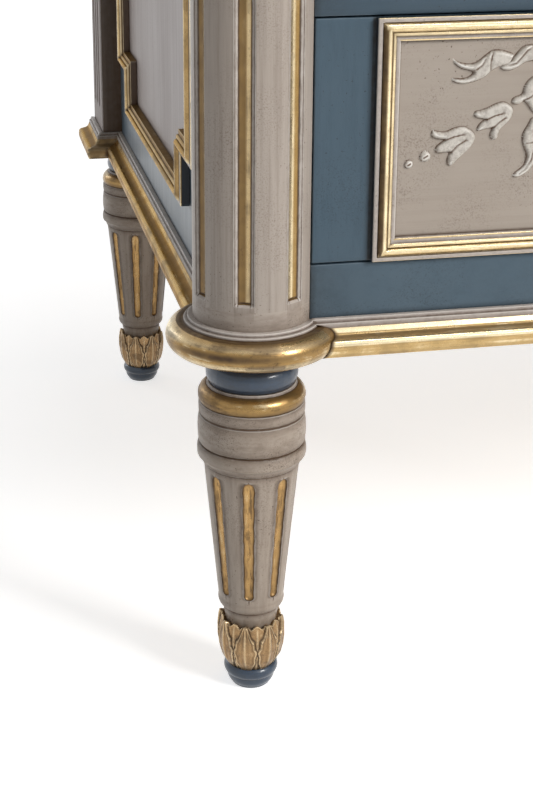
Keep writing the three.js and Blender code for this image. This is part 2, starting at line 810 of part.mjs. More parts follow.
// Runner ladder for one side: an L of guide and ledge under each drawer, on two battens
function buildRunners() {
  const guideInner = drawerEdge - drawer.sideClearance;
  const ledgeInner = drawerEdge + runner.ledgeWidth;
  const wall = sideInner + chest.seam;
  const back = postFront - chest.seam;
  const behind = column.radius + chest.seam;
  const parts = [];
  drawerNames.forEach((_, index) => {
    const floor = drawerFloor(index);
    parts.push(box([guideInner - chest.overrun, ledgeInner], [behind, back],
      [floor - runner.height, floor]));
    parts.push(box([wall, guideInner], [behind, back],
      [floor - runner.height, floor + runner.guideHeight]));
  });
  const battenX = [wall, wall + runner.battenThickness];
  const battenZ = [drawerFloor(0) - runner.height, uprightHigh - chest.seam];
  const first = behind + runner.battenInset;
  const last = back - runner.battenInset;
  parts.push(box(battenX, [first, first + runner.battenWidth], battenZ));
  parts.push(box(battenX, [last - runner.battenWidth, last], battenZ));
  addPair('drawer_runners', fromColumn(join(parts)), paint.timber);
}

// One drawer: dovetailed front and sides, back in dadoes, bottom panel in grooves
function tailCentres(low) {
  const pitch = sideHeight / tailCount;
  return Array.from({ length: tailCount }, (_, i) => low + pitch * (i + 0.5));
}

function tailOutline(middle, root, tip, spread) {
  const half = drawer.tailBase / 2 + spread;
  const flared = half + drawer.tailFlare;
  return [
    [root, middle - half], [tip, middle - flared], [tip, middle + flared], [root, middle + half],
  ];
}

function buildDrawer(name, index) {
  const floor = drawerFloor(index);
  const [low, high] = [floor + drawer.gap, floor + drawer.openingHeight - drawer.gap];
  const sideLow = floor + chest.seam;
  const sideHigh = sideLow + sideHeight;
  const frontBack = faceY + drawer.frontThickness;
  const tailTip = faceY + drawer.lap;
  const sideX = [drawerEdge, drawerEdge + drawer.sideThickness];
  const grooveLow = sideLow + drawer.panelLift;
  const groove = [grooveLow - chest.seam, grooveLow + drawer.panelThickness + chest.seam];
  const middle = (low + high) / 2;
  const pullX = [pull.offset, farX - pull.offset];

  const frontTools = [];
  for (const centre of tailCentres(sideLow)) {
    const outline = tailOutline(centre, frontBack + chest.overrun, tailTip, chest.seam);
    const socket = [sideX[0] - chest.overrun, sideX[1] + chest.seam];
    frontTools.push(prism('x', outline, ...socket));
    frontTools.push(prism('x', outline, farX - socket[1], farX - socket[0]));
  }
  const grooveIn = sideX[1] - drawer.panelGroove;
  frontTools.push(box([grooveIn, farX - grooveIn],
    [frontBack - drawer.panelGroove, frontBack + chest.overrun], groove));
  for (const x of pullX) {
    const radius = pull.spikeRadius + chest.seam;
    const depth = pull.spikeLength + chest.seam;
    const bore = turned([
      [0, -chest.overrun], [radius, -chest.overrun], [radius, depth], [0, depth],
    ], boreSides);
    frontTools.push(bore.rotateX(-Math.PI / 2).translate(x, faceY, middle));
  }
  const board = box([drawerEdge, farX - drawerEdge], [faceY, frontBack], [low, high]);
  addPiece(`${name}_drawer_front`, fromColumn(cut(board, frontTools)), paint.blue);

  const tailRoot = frontBack + chest.seam;
  const sideParts = [box(sideX, [tailRoot, drawerEnd], [sideLow, sideHigh])];
  for (const centre of tailCentres(sideLow)) {
    const outline = tailOutline(centre, tailRoot + chest.overrun, tailTip + chest.seam, 0);
    sideParts.push(prism('x', outline, ...sideX));
  }
  const backY1 = drawerEnd - drawer.backInset;
  const backY0 = backY1 - drawer.backThickness;
  const plank = cut(join(sideParts), [
    box([grooveIn, sideX[1] + chest.overrun], [faceY, drawerEnd + chest.overrun], groove),
    box([sideX[1] - drawer.backDado - chest.seam, sideX[1] + chest.overrun],
      [backY0 - chest.seam, backY1 + chest.seam], [groove[0], sideHigh + chest.overrun]),
  ]);
  addPair(`${name}_drawer_side`, fromColumn(plank), paint.timber);

  const backX = sideX[1] - drawer.backDado;
  const backZ = [groove[1] + chest.seam, sideHigh];
  addPiece(`${name}_drawer_back`,
    fromColumn(box([backX, farX - backX], [backY0, backY1], backZ)), paint.timber);

  const panelX = grooveIn + chest.seam;
  const panelY = [frontBack - drawer.panelGroove + chest.seam, backY1];
  const panelZ = [grooveLow, grooveLow + drawer.panelThickness];
  addPiece(`${name}_drawer_bottom`,
    fromColumn(box([panelX, farX - panelX], panelY, panelZ)), paint.plywood);

  const edgeX = flat + drawer.mouldingInset;
  const outline = [[edgeX, low], [edgeX, high], [farX - edgeX, high], [farX - edgeX, low]];
  const frame = sweep(outline, beadProfile(0), true, 'minusY');
  addPiece(`${name}_drawer_moulding`, fromColumn(frame.translate(0, faceY, 0)), paint.gilt);

  const plate = rosette().translate(pull.offset, faceY, middle);
  addPair(`${name}_pull_rosette`, fromColumn(plate), paint.brass);
  const ring = new THREE.TorusGeometry(pull.ringRadius, pull.wireRadius, wireSides, pullSides);
  ring.rotateX(Math.PI / 2).rotateY(Math.PI / pullSides);
  ring.translate(pull.offset, faceY - chest.seam - pull.eyeHeight, middle - pull.ringRadius);
  addPair(`${name}_pull_ring`, fromColumn(ring), paint.brass);
}

// Ring pull's rosette: a domed plate, a boss with a cross eye and a spike into the wood
function rosette() {
  const profile = [
    [0, -pull.spikeLength], [pull.spikeRadius, -pull.spikeLength], [pull.spikeRadius, 0],
    ...shaped(plateShares, pull.plateRadius, pull.plateThickness),
    ...shaped(bossShares, pull.bossRadius, pull.bossLength),
  ];
  const plate = turned(profile, smallSides).rotateX(Math.PI / 2);
  const reach = pull.bossRadius + chest.overrun;
  const eyeRadius = pull.wireRadius + pull.eyeClearance;
  const eye = turned([
    [0, -reach], [eyeRadius, -reach], [eyeRadius, reach], [0, reach],
  ], boreSides).rotateY(Math.PI / 2).translate(0, -pull.eyeHeight, 0);
  return cut(plate, [eye]).translate(0, -chest.seam, 0);
}

buildRails();
buildColumns();
buildPosts();
buildSides();
buildSideMouldings();
buildBaseMouldings();
buildUnderTop();
buildTop();
buildBack();
buildBottom();
buildLegs();
buildRunners();
drawerNames.forEach(buildDrawer);

export default model;
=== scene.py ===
# %% [markdown]
# # A painted and gilded commode chest
# The chest stands on four turned legs. Its wood is painted taupe and dusty blue, its mouldings
# are gilded, and everything has been rubbed and glazed so that it looks old. The CAD model fixes
# every size. This lesson dresses it: visible pieces are rebuilt with finer outlines in the same
# places, and plain inner pieces keep their CAD shape and only get a finish.

# %% Load the CAD model
import math

import bmesh
import bpy
import numpy as np
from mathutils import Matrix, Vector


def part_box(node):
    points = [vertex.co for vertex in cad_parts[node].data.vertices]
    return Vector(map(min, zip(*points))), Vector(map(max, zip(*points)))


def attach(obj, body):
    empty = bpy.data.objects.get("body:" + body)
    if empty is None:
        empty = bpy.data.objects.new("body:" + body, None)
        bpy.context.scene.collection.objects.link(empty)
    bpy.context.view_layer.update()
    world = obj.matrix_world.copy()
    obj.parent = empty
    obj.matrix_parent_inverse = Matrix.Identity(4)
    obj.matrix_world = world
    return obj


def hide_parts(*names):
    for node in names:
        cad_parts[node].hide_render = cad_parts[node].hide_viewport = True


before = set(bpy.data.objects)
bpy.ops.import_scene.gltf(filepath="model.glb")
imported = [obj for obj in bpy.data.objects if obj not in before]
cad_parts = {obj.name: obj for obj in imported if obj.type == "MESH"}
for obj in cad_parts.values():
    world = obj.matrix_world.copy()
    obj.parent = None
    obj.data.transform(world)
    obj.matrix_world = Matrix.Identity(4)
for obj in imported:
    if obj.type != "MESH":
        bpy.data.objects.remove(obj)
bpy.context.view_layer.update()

# %% [markdown]
# ## The camera
# The photograph looks down at one corner from a little above. The camera was worked out from the
# straight edges that meet there, so its place is given in numbers. The picture is cut from a
# wider view, and a camera shift moves the frame without tilting the uprights.

# %% Camera
camera_data = bpy.data.cameras.new("corner_view")
camera_data.lens = 69.0
camera_data.sensor_width = 36.0
camera_data.shift_x = 0.0431
camera_data.shift_y = -0.2
camera_data.clip_end = 50
camera = bpy.data.objects.new("corner_view", camera_data)
camera.location = (-0.72676, -1.07561, 0.54881)
LOOK_DOWN, LOOK_RIGHT = math.radians(17.01), math.radians(10.9)
camera.rotation_euler = (math.pi / 2 - LOOK_DOWN, 0, -LOOK_RIGHT)
bpy.context.scene.collection.objects.link(camera)
bpy.context.scene.camera = camera
print("camera height in metres:", round(camera.location.z, 3))

# %% [markdown]
# ## A short way to wire shader nodes
# Shader trees are easier to read when each node is one short line. This helper adds nodes to a
# tree and plugs values or other nodes into their inputs. It could be left out, but every finish
# below would then be three times as long.


# %% Node helper
class Wiring:
    def __init__(self, tree):
        self.tree = tree

    def add(self, kind, inputs=(), **settings):
        node = self.tree.nodes.new("ShaderNode" + kind)
        for name, value in settings.items():
            setattr(node, name, value)
        for name, value in dict(inputs).items():
            self.plug(node.inputs[name], value)
        return node

    def plug(self, socket, value):
        if isinstance(value, bpy.types.NodeSocket):
            self.tree.links.new(value, socket)
        else:
            socket.default_value = value

    def maths(self, operation, first, second=0.0, clamp=False):
        return self.add("Math", {0: first, 1: second}, operation=operation, use_clamp=clamp).outputs[0]

    def times(self, first, second, clamp=False):
        return self.maths("MULTIPLY", first, second, clamp)

    def plus(self, first, second, clamp=False):
        return self.maths("ADD", first, second, clamp)

    def minus(self, first, second):
        return self.maths("SUBTRACT", first, second)

    def blend(self, factor, first, second):
        return self.add("Mix", {0: factor, 6: first, 7: second}, data_type="RGBA").outputs[2]

    def noise(self, where, scale, detail=3.0, rough=0.55):
        values = {"Vector": where, "Scale": scale, "Detail": detail, "Roughness": rough}
        return self.add("TexNoise", values).outputs["Fac"]

    def step(self, value, low, high, bottom=0.0, top=1.0):
        values = {"Value": value, "From Min": low, "From Max": high, "To Min": bottom, "To Max": top}
        return self.add("MapRange", values, interpolation_type="SMOOTHSTEP").outputs["Result"]

    def mark(self, name):
        return self.add("Attribute", attribute_name=name).outputs["Fac"]

    def direct_view(self):
        """1 where the camera looks, straight or by way of a mirror or glass, and 0 for other light."""
        rays = self.add("LightPath").outputs
        mirrored = self.maths("MAXIMUM", rays["Is Glossy Ray"], rays["Is Transmission Ray"])
        return self.maths("MAXIMUM", rays["Is Camera Ray"], mirrored)


def shade(red, green, blue):
    """A colour as it is seen, from 0 to 255, turned into the light values that Blender mixes."""
    seen = np.array([red, green, blue]) / 255
    light = np.where(seen <= 0.04045, seen / 12.92, ((seen + 0.055) / 1.055) ** 2.4)
    return (*light.tolist(), 1.0)


def effect(name, inputs, outputs):
    """An empty shader node group with named sockets."""
    group = bpy.data.node_groups.new(name, "ShaderNodeTree")
    for socket, kind in inputs:
        group.interface.new_socket(socket, in_out="INPUT", socket_type="NodeSocket" + kind)
    for socket, kind in outputs:
        group.interface.new_socket(socket, in_out="OUTPUT", socket_type="NodeSocket" + kind)
    source = group.nodes.new("NodeGroupInput").outputs
    return group, Wiring(group), source, group.nodes.new("NodeGroupOutput").inputs


print("taupe in light values:", [round(v, 3) for v in shade(170, 159, 148)[:3]])

# %% [markdown]
# ## Aged paint
# On the real chest each colour was brushed on, covered with a brown glaze and wiped. The glaze
# stays in hollows, in brush streaks and in tiny pits, and the paint is rubbed pale on edges.
# One node group does this for every colour. Two marks that are written on each mesh, `hollow`
# and `edge`, tell it where the glaze gathers and where the rubbing bites. Some pieces also write
# painted shade into `hollow`, which the group lays down as glaze colour, and painted highlights
# into `edge`, which it lays down as pale rubbing. An image texture could do the same, but noise in
# object space needs no unwrapping and stays sharp close up.


# %% Aged paint group
aged, w, given, out = effect(
    "aged_paint",
    [("Paint", "Color"), ("Glaze", "Color"), ("Worn", "Color"), ("Brush", "Vector"),
     ("Streaks", "Float"), ("Stipple", "Float"), ("Pits", "Float"), ("Grime", "Float"),
     ("Rubbing", "Float")],
    [("Color", "Color"), ("Roughness", "Float"), ("Height", "Float")])
place = w.add("TexCoord").outputs["Object"]
brushed = w.add("VectorMath", {0: place, 1: given["Brush"]}, operation="MULTIPLY").outputs[0]
streak = w.noise(brushed, 1.0, 5.0, 0.62)
fine_streak = w.noise(brushed, 3.1, 4.0, 0.7)
cloud = w.noise(place, 11.0, 3.0)
pit_noise = w.noise(place, 620.0, 2.0, 0.6)
pit = w.times(w.step(pit_noise, 0.66, 0.72), w.step(cloud, 0.42, 0.62))
stipple = w.times(w.step(w.noise(place, 1100.0, 3.0, 0.7), 0.5, 0.68),
                  w.step(w.noise(place, 24.0, 4.0, 0.6), 0.44, 0.66))
both_streaks = w.plus(w.times(streak, 0.6), w.times(fine_streak, 0.4))
streaks = w.step(both_streaks, 0.42, 0.68)
soft_streaks = w.times(streaks, given["Streaks"])
hollow = w.mark("hollow")
ragged = w.plus(w.times(w.noise(place, 170.0, 4.0, 0.65), 1.1), 0.35)
# Glaze colour from the hollow mark: real glaze, and painted shade where a piece marks it.
darkening = w.times(w.times(hollow, ragged), given["Grime"], clamp=True)
edge = w.mark("edge")
# Pale rubbing from the edge mark: real wear, and painted highlights where a piece marks them.
chip = w.times(edge, 1.15)
chip = w.plus(chip, w.minus(w.noise(place, 95.0, 4.0, 0.7), 1.05))
rubbed = w.times(w.step(chip, 0.0, 0.34), given["Rubbing"], clamp=True)
tone = w.blend(w.step(cloud, 0.3, 0.75, 0.0, 0.10), given["Paint"], given["Worn"])
tone = w.blend(soft_streaks, tone, given["Glaze"])
tone = w.blend(w.times(stipple, given["Stipple"], clamp=True), tone, given["Glaze"])
tone = w.blend(w.times(pit, given["Pits"], clamp=True), tone, given["Glaze"])
tone = w.blend(darkening, tone, given["Glaze"])
w.plug(out["Color"], w.blend(rubbed, tone, given["Worn"]))
w.plug(out["Roughness"], w.plus(w.times(darkening, 0.2), w.step(streak, 0.3, 0.7, 0.36, 0.5)))
w.plug(out["Height"], w.minus(w.times(streaks, -0.35), w.plus(pit, w.times(rubbed, 0.5))))
print("aged paint:", len(aged.nodes), "nodes")

# %% [markdown]
# ## Rubbed gold leaf
# Leaf is metal, so it takes its look from what it mirrors. Here it is thin and old: brown bole
# shows through in patches, and the glaze darkens its hollows and the places where a piece marks
# painted shade. Its ridges and the places marked as painted highlights take a near-white colour,
# a painted highlight, and glitter adds patches of the same painted highlight. The group mixes
# metal and bole by noise, and hands the same mask to the metallic value, because bole doesn't
# mirror.

# %% Gold leaf group
leafing, w, given, out = effect(
    "rubbed_leaf",
    [("Leaf", "Color"), ("Bole", "Color"), ("Bright", "Color"), ("Brush", "Vector"),
     ("Wear", "Float"), ("Grime", "Float"), ("Glitter", "Float")],
    [("Color", "Color"), ("Roughness", "Float"), ("Metallic", "Float"), ("Height", "Float")])
place = w.add("TexCoord").outputs["Object"]
brushed = w.add("VectorMath", {0: place, 1: given["Brush"]}, operation="MULTIPLY").outputs[0]
patch = w.noise(place, 48.0, 5.0, 0.65)
scuff = w.noise(brushed, 1.0, 6.0, 0.72)
fleck = w.step(w.noise(place, 520.0, 3.0, 0.65), 0.56, 0.68)
mottle = w.plus(w.times(patch, 0.4), w.times(scuff, 0.6))
worn = w.plus(w.step(mottle, 0.47, 0.6), w.times(fleck, 0.35))
worn = w.times(worn, given["Wear"], clamp=True)
hollow = w.mark("hollow")
# Bole colour from the hollow mark: glaze, and painted shade where a piece marks it.
darkening = w.times(w.times(hollow, w.plus(w.noise(place, 150.0, 4.0), 0.5)), given["Grime"], clamp=True)
dark = w.maths("MAXIMUM", worn, darkening)
# Painted highlights: a near-white colour on ridges and on places marked bright, and glitter patches of it.
bright = w.plus(w.times(w.mark("edge"), w.step(scuff, 0.3, 0.6, 0.35, 0.95)),
                w.times(w.step(mottle, 0.38, 0.47, 0.8, 0.0), given["Glitter"]), clamp=True)
tone = w.blend(bright, given["Leaf"], given["Bright"])
w.plug(out["Color"], w.blend(dark, tone, given["Bole"]))
w.plug(out["Roughness"], w.plus(w.times(dark, 0.25), w.step(patch, 0.3, 0.7, 0.19, 0.31)))
w.plug(out["Metallic"], w.minus(0.9, w.times(dark, 0.6)))
w.plug(out["Height"], w.minus(w.times(scuff, 0.6), w.times(dark, 0.8)))
print("rubbed leaf:", len(leafing.nodes), "nodes")

# %% [markdown]
# ## Bare wood grain
# Drawer boxes, runners and the back are plain timber. Grain is a stretched noise whose rings
# are bent by a second, broader noise, with short dark pores along it.

# %% Wood grain group
grained, w, given, out = effect(
    "wood_grain",
    [("Light", "Color"), ("Dark", "Color"), ("Along", "Vector"), ("Contrast", "Float")],
    [("Color", "Color"), ("Roughness", "Float"), ("Height", "Float")])
place = w.add("TexCoord").outputs["Object"]
along = w.add("VectorMath", {0: place, 1: given["Along"]}, operation="MULTIPLY").outputs[0]
wave = {"Vector": along, "Scale": 0.55, "Distortion": 9.0, "Detail": 3.0, "Detail Scale": 0.6}
rings = w.add("TexWave", wave, wave_type="BANDS", bands_direction="DIAGONAL").outputs["Fac"]
fibre = w.noise(along, 3.2, 6.0, 0.65)
pores = w.step(w.noise(along, 14.0, 2.0), 0.62, 0.72)
tint = w.plus(w.times(rings, 0.45), w.times(fibre, 0.6))
tint = w.times(w.step(tint, 0.25, 0.85), given["Contrast"], clamp=True)
tone = w.blend(tint, given["Light"], given["Dark"])
w.plug(out["Color"], w.blend(w.times(pores, 0.4), tone, given["Dark"]))
w.plug(out["Roughness"], w.step(fibre, 0.3, 0.7, 0.55, 0.72))
w.plug(out["Height"], w.minus(w.times(fibre, 0.5), pores))
print("wood grain:", len(grained.nodes), "nodes")

# %% [markdown]
# ## The finishes
# Each finish is one material: a group with its own values, plugged into a Principled shader
# that stays in the material. Waxed paint gets a thin coat for its soft shine. Metal seen along
# its surface turns white, so the leaf on the sides gets a tint that keeps it golden there.


# %% Finishes
TAUPE, BLUE = shade(171, 159, 148), shade(66, 86, 100)
UPRIGHT, LEVEL = (230.0, 230.0, 7.0), (7.0, 230.0, 230.0)


def taupe(*colour, worn=shade(208, 201, 193)):
    """Paint, the glaze in its hollows and its rubbed edges."""
    return shade(*colour), shade(78, 57, 38), worn


def blue(*colour):
    return shade(*colour), shade(28, 30, 31), shade(104, 119, 130)


def finish_from(name, group, values, relief, coat=0.0, coat_roughness=0.3, strength=0.35, shine=0.5):
    material = bpy.data.materials.new(name)
    material.use_nodes = True
    wires = Wiring(material.node_tree)
    shader = material.node_tree.nodes["Principled BSDF"]
    effect_node = wires.add("Group", node_tree=group)
    for socket, value in values.items():
        wires.plug(effect_node.inputs[socket], value)
    wires.plug(shader.inputs["Base Color"], effect_node.outputs["Color"])
    wires.plug(shader.inputs["Roughness"], effect_node.outputs["Roughness"])
    if "Metallic" in effect_node.outputs:
        wires.plug(shader.inputs["Metallic"], effect_node.outputs["Metallic"])
    bump = wires.add("Bump", {"Height": effect_node.outputs["Height"], "Distance": relief,
                              "Strength": strength})
    wires.plug(shader.inputs["Normal"], bump.outputs["Normal"])
    shader.inputs["Specular IOR Level"].default_value = shine
    shader.inputs["Coat Weight"].default_value = coat
    shader.inputs["Coat Roughness"].default_value = coat_roughness
    return material


def paint(name, colours, brush, streaks, stipple, pits, darken, rubbing, coat, gloss=0.3, shine=0.5):
    values = dict(zip(("Paint", "Glaze", "Worn"), colours))
    values.update(Brush=brush, Streaks=streaks, Stipple=stipple, Pits=pits, Grime=darken,
                  Rubbing=rubbing)
    return finish_from(name, aged, values, 0.0004, coat, gloss, 0.35, shine)


# The bright colour is the near-white of the leaf's painted highlights.
def leaf(name, colour, brush, wear, darken, glitter=0.6, edge_tint=None, bright=shade(246, 230, 192)):
    values = {"Leaf": colour, "Bole": shade(66, 45, 22), "Bright": bright,
              "Brush": brush, "Wear": wear, "Grime": darken, "Glitter": glitter}
    material = finish_from(name, leafing, values, 0.0003, 0.0, 0.3, 0.4)
    if edge_tint:
        material.node_tree.nodes["Principled BSDF"].inputs["Specular Tint"].default_value = edge_tint
    return material


def timber(name, light, dark, along, contrast):
    return finish_from(name, grained, {"Light": light, "Dark": dark, "Along": along,
                                       "Contrast": contrast}, 0.0003)


# After its brush, a paint gives streaks, stipple, pits, darkening, rubbing, coat, gloss and shine,
# and a leaf gives wear, darkening and glitter. Darkening scales glaze and painted shade alike, and
# glitter scales patches of painted highlight.
finishes = {
    "taupe": paint("taupe_upright", taupe(171, 159, 148), UPRIGHT, 0.3, 0.5, 0.7, 1.05, 0.8, 0.12),
    "taupe_foot": paint("taupe_foot", taupe(174, 161, 149), (45.0, 45.0, 150.0),
                        0.3, 0.75, 0.9, 1.05, 0.6, 0.12),
    # A dark taupe laid as painted shade: on the near face of the back posts and on the inner wall of the side
    # frames' upright runs.
    "taupe_dark": paint("taupe_dark", taupe(100, 88, 79, worn=TAUPE), UPRIGHT,
                        0.5, 0.2, 0.5, 1.0, 0.3, 0.05, 0.3, 0.3),
    "taupe_leg": paint("taupe_leg", taupe(168, 153, 138), UPRIGHT, 0.28, 0.7, 0.8, 1.2, 0.3, 0.12),
    "taupe_field": paint("taupe_field", taupe(167, 155, 143), LEVEL, 0.07, 0.5, 0.75, 1.0, 0.5, 0.08),
    "taupe_drum": paint("taupe_drum", taupe(168, 153, 138), (55.0, 55.0, 170.0),
                        0.4, 0.8, 0.9, 1.2, 0.4, 0.12),
    "taupe_side": paint("taupe_side", taupe(172, 161, 157), UPRIGHT,
                        0.06, 0.16, 0.6, 1.0, 0.5, 0.0, 0.3, 0.25),
    "taupe_fillet": paint("taupe_fillet", taupe(190, 180, 172), (160.0, 160.0, 160.0),
                          0.25, 0.3, 0.6, 0.95, 0.8, 0.12),
    "relief": paint("relief_paint", (shade(208, 202, 193), shade(88, 62, 40), shade(232, 228, 221)),
                    (260.0, 260.0, 260.0), 0.4, 0.4, 0.6, 1.2, 0.8, 0.15),
    "blue_side": paint("blue_side", blue(66, 86, 100), UPRIGHT, 0.05, 0.2, 0.4, 1.0, 0.35, 0.4, 0.3),
    "blue_divider": paint("blue_divider", blue(54, 75, 90), LEVEL,
                          0.1, 0.3, 0.55, 1.1, 0.35, 0.06, 0.3, 0.4),
    "blue": paint("blue_board", blue(60, 82, 97), (230.0, 230.0, 40.0),
                  0.12, 0.35, 0.55, 1.1, 0.35, 0.06, 0.3, 0.4),
    "blue_level": paint("blue_rail", blue(69, 89, 103), (60.0, 60.0, 90.0),
                        0.1, 0.45, 0.55, 1.1, 0.35, 0.06, 0.3, 0.4),
    "blue_turned": paint("blue_turned", blue(22, 48, 73), (60.0, 60.0, 210.0),
                         0.4, 0.3, 0.6, 1.0, 0.3, 0.6, 0.14, 0.4),
    # A nearly black blue laid as painted shade on the outer side face of the gilded beads.
    "blue_black": paint("blue_black", (shade(26, 31, 39), shade(14, 15, 17), BLUE), UPRIGHT,
                        0.3, 0.2, 0.3, 1.0, 0.3, 0.1),
    # Gilded runs are lit and shaded copies of one leaf: level front runs are painted lighter, and upright
    # runs and runs along the sides are painted darker, as painted light and shade.
    "gold_along": leaf("gold_front_run", shade(178, 150, 102), (9.0, 230.0, 230.0), 0.3, 1.0),
    "gold_deep": leaf("gold_side_run", shade(144, 110, 58), (230.0, 9.0, 230.0), 0.5, 1.0, 0.35,
                      shade(214, 192, 156)),
    "gold_upright": leaf("gold_upright_run", shade(142, 114, 68), (260.0, 260.0, 9.0), 0.5, 1.1, 0.1),
    "gold_frame": leaf("gold_frame_run", shade(156, 126, 76), (260.0, 260.0, 9.0), 0.3, 1.1, 0.25),
    "gold_ring": leaf("gold_ring", shade(154, 124, 77), (13.0, 13.0, 160.0), 0.65, 1.1),
    "gold_flute": leaf("gold_leg_flute", shade(180, 144, 92), (420.0, 420.0, 60.0), 0.6, 1.2, 0.3),
    "gold_carved": leaf("gold_carved", shade(150, 121, 86), (150.0, 150.0, 150.0), 0.45, 0.9, 0.3, None,
                        shade(214, 190, 152)),
    "brass": leaf("aged_brass", shade(152, 120, 70), (160.0, 160.0, 160.0), 0.5, 1.1),
    "side_timber": timber("drawer_side_wood", shade(196, 160, 112), shade(146, 104, 62),
                          (150.0, 8.0, 150.0), 0.7),
    "cross_timber": timber("rail_wood", shade(188, 150, 104), shade(134, 94, 56),
                           (8.0, 150.0, 150.0), 0.7),
    "panel_wood": timber("panel_wood", shade(206, 178, 134), shade(166, 130, 86),
                         (5.0, 120.0, 120.0), 0.45),
}
print("finishes:", ", ".join(finishes))

# %% [markdown]
# ## Gathering a piece
# Turned, moulded and carved wood is easiest to write as rows of points with faces between them,
# as a ship is drawn by its ribs. `Shape` gathers such rows, and each face remembers its finish.
# Sizes are written in millimetres, as a maker would, and become metres at the end.


# %% The shape gatherer
class Shape:
    def __init__(self):
        self.points, self.faces, self.paints, self.stains = [], [], [], []

    def skin(self, rows, paint, around=False, capped=False, stain=None):
        """Faces between rows; paint is one name, a list along the row, or a function (i, j)."""
        rows = np.asarray(rows, dtype=float)
        count, across = rows.shape[:2]
        first = len(self.points)
        self.points += rows.reshape(-1, 3).tolist()
        self.stains += [0.0] * (count * across) if stain is None else np.ravel(stain).tolist()
        for i in range(count - 1):
            low, high = first + i * across, first + (i + 1) * across
            for j in range(across if around else across - 1):
                k = (j + 1) % across
                self.faces.append((low + j, low + k, high + k, high + j))
                self.paints.append(paint if isinstance(paint, str) else
                                   paint(i, j) if callable(paint) else paint[j])
        if capped:
            for i in (0, count - 1):
                self.faces.append(tuple(first + i * across + j for j in range(across)))
                self.paints.append(self.paints[-1])
        return self

    def placed(self, place):
        """A copy whose points are moved by place(x, y, z)."""
        other = Shape()
        other.points = [place(*point) for point in self.points]
        other.faces, other.paints, other.stains = self.faces, self.paints, self.stains
        return other

    def mirrored(self):
        return self.placed(lambda x, y, z: (-x, y, z))

    def added(self, other):
        start = len(self.points)
        self.points += list(other.points)
        self.faces += [tuple(start + k for k in face) for face in other.faces]
        self.paints += other.paints
        self.stains += other.stains
        return self


def bow(start, end, rise, steps):
    """Points from start to end on a circular arc that stands out by rise on the left."""
    start, end = np.array(start, float), np.array(end, float)
    chord = end - start
    length = np.hypot(*chord)
    left = np.array([-chord[1], chord[0]]) / max(length, 1e-9)
    if abs(rise) < 1e-6:
        return [end]
    half = 2 * math.atan(2 * rise / length)
    radius = length / (2 * math.sin(half))
    middle = (start + end) / 2 - left * radius * math.cos(half)
    turn = math.atan2(*(start - middle)[::-1])
    return [middle + abs(radius) * np.array([math.cos(a), math.sin(a)])
            for a in (turn - 2 * half * np.arange(1, steps + 1) / steps)]


def full_turn(steps):
    return np.linspace(0, 2 * math.pi, steps, endpoint=False)


def outline(start, *runs):
    """A moulding's outline. Each run is a finish and its ends: (across, up) or (across, up, rise)."""
    points, paints = [np.array(start, float)], []
    for paint, *ends in runs:
        for across, up, *rise in ends:
            steps = max(4, int(abs(rise[0]) * 6)) if rise else 1
            new = bow(points[-1], (across, up), rise[0] if rise else 0, steps)
            points += new
            paints += [paint] * len(new)
    return np.array(points), paints


print("an arc of rise 1 over 4:", [np.round(p, 2).tolist() for p in bow((0, 0), (4, 0), 1, 2)])

# %% [markdown]
# ## Marking where wear, dirt and painted light belong
# Each mesh carries its own map of wear. Wherever two faces meet at a bend, the sharpness of the
# bend is noted on its points: ridges go to `edge` and valleys to `hollow`. A piece may bring
# marks of its own: above 0 they darken, as glaze in some places and as painted shade in others,
# and below 0 they brighten, as rubbing in some places and as painted highlights in others. A
# bevel node could find edges while rendering, but a mark that lives on the mesh also survives an
# export.


# %% From shape to piece
def note_wear(form, stains):
    edge_mark = form.verts.layers.float.new("edge")
    hollow_mark = form.verts.layers.float.new("hollow")
    # A piece's own marks go in first: glaze and painted shade to the hollow mark, rubbing and painted
    # highlights to the edge mark.
    for vert in form.verts:
        vert[hollow_mark], vert[edge_mark] = max(0.0, vert[stains]), max(0.0, -vert[stains])
    middles = [face.calc_center_median() for face in form.faces]
    for edge in form.edges:
        if len(edge.link_faces) != 2:
            continue
        one, two = (middles[face.index] for face in edge.link_faces)
        bend = edge.calc_face_angle_signed(0.0) / max((one - two).length * 1000, 0.05)
        level = min(1.0, max(0.0, (abs(bend) - 0.15) / 0.75))
        mark = edge_mark if bend > 0 else hollow_mark
        for vert in edge.verts:
            vert[mark] = max(vert[mark], level)


made = {}


def make_piece(name, shape, body, nodes, corner=38):
    mesh = bpy.data.meshes.new(name)
    mesh.from_pydata((np.array(shape.points) / 1000).tolist(), [], shape.faces)
    used = sorted(set(shape.paints))
    for paint_name in used:
        mesh.materials.append(finishes[paint_name])
    mesh.polygons.foreach_set("material_index", [used.index(p) for p in shape.paints])
    form = bmesh.new()
    form.from_mesh(mesh)
    stains = form.verts.layers.float.new("stain")
    form.verts.ensure_lookup_table()
    for vert, stain in zip(form.verts, shape.stains):
        vert[stains] = stain
    bmesh.ops.remove_doubles(form, verts=form.verts, dist=0.000012)
    bmesh.ops.dissolve_degenerate(form, edges=form.edges, dist=0.000002)
    bmesh.ops.recalc_face_normals(form, faces=form.faces)
    form.faces.index_update()
    note_wear(form, stains)
    form.verts.layers.float.remove(form.verts.layers.float["stain"])
    form.to_mesh(mesh)
    form.free()
    mesh.polygons.foreach_set("use_smooth", [True] * len(mesh.polygons))
    mesh.set_sharp_from_angle(angle=math.radians(corner))
    piece = bpy.data.objects.new(name, mesh)
    bpy.context.scene.collection.objects.link(piece)
    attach(piece, body)
    if nodes:
        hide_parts(*nodes)
    made[name] = len(mesh.polygons)
    return piece


def make_pair(name, shape, body, corner=38):
    for side, half in (("left", shape), ("right", shape.mirrored())):
        make_piece(f"{name}_{side}_dressed", half, body, [f"{name}_{side}"], corner)


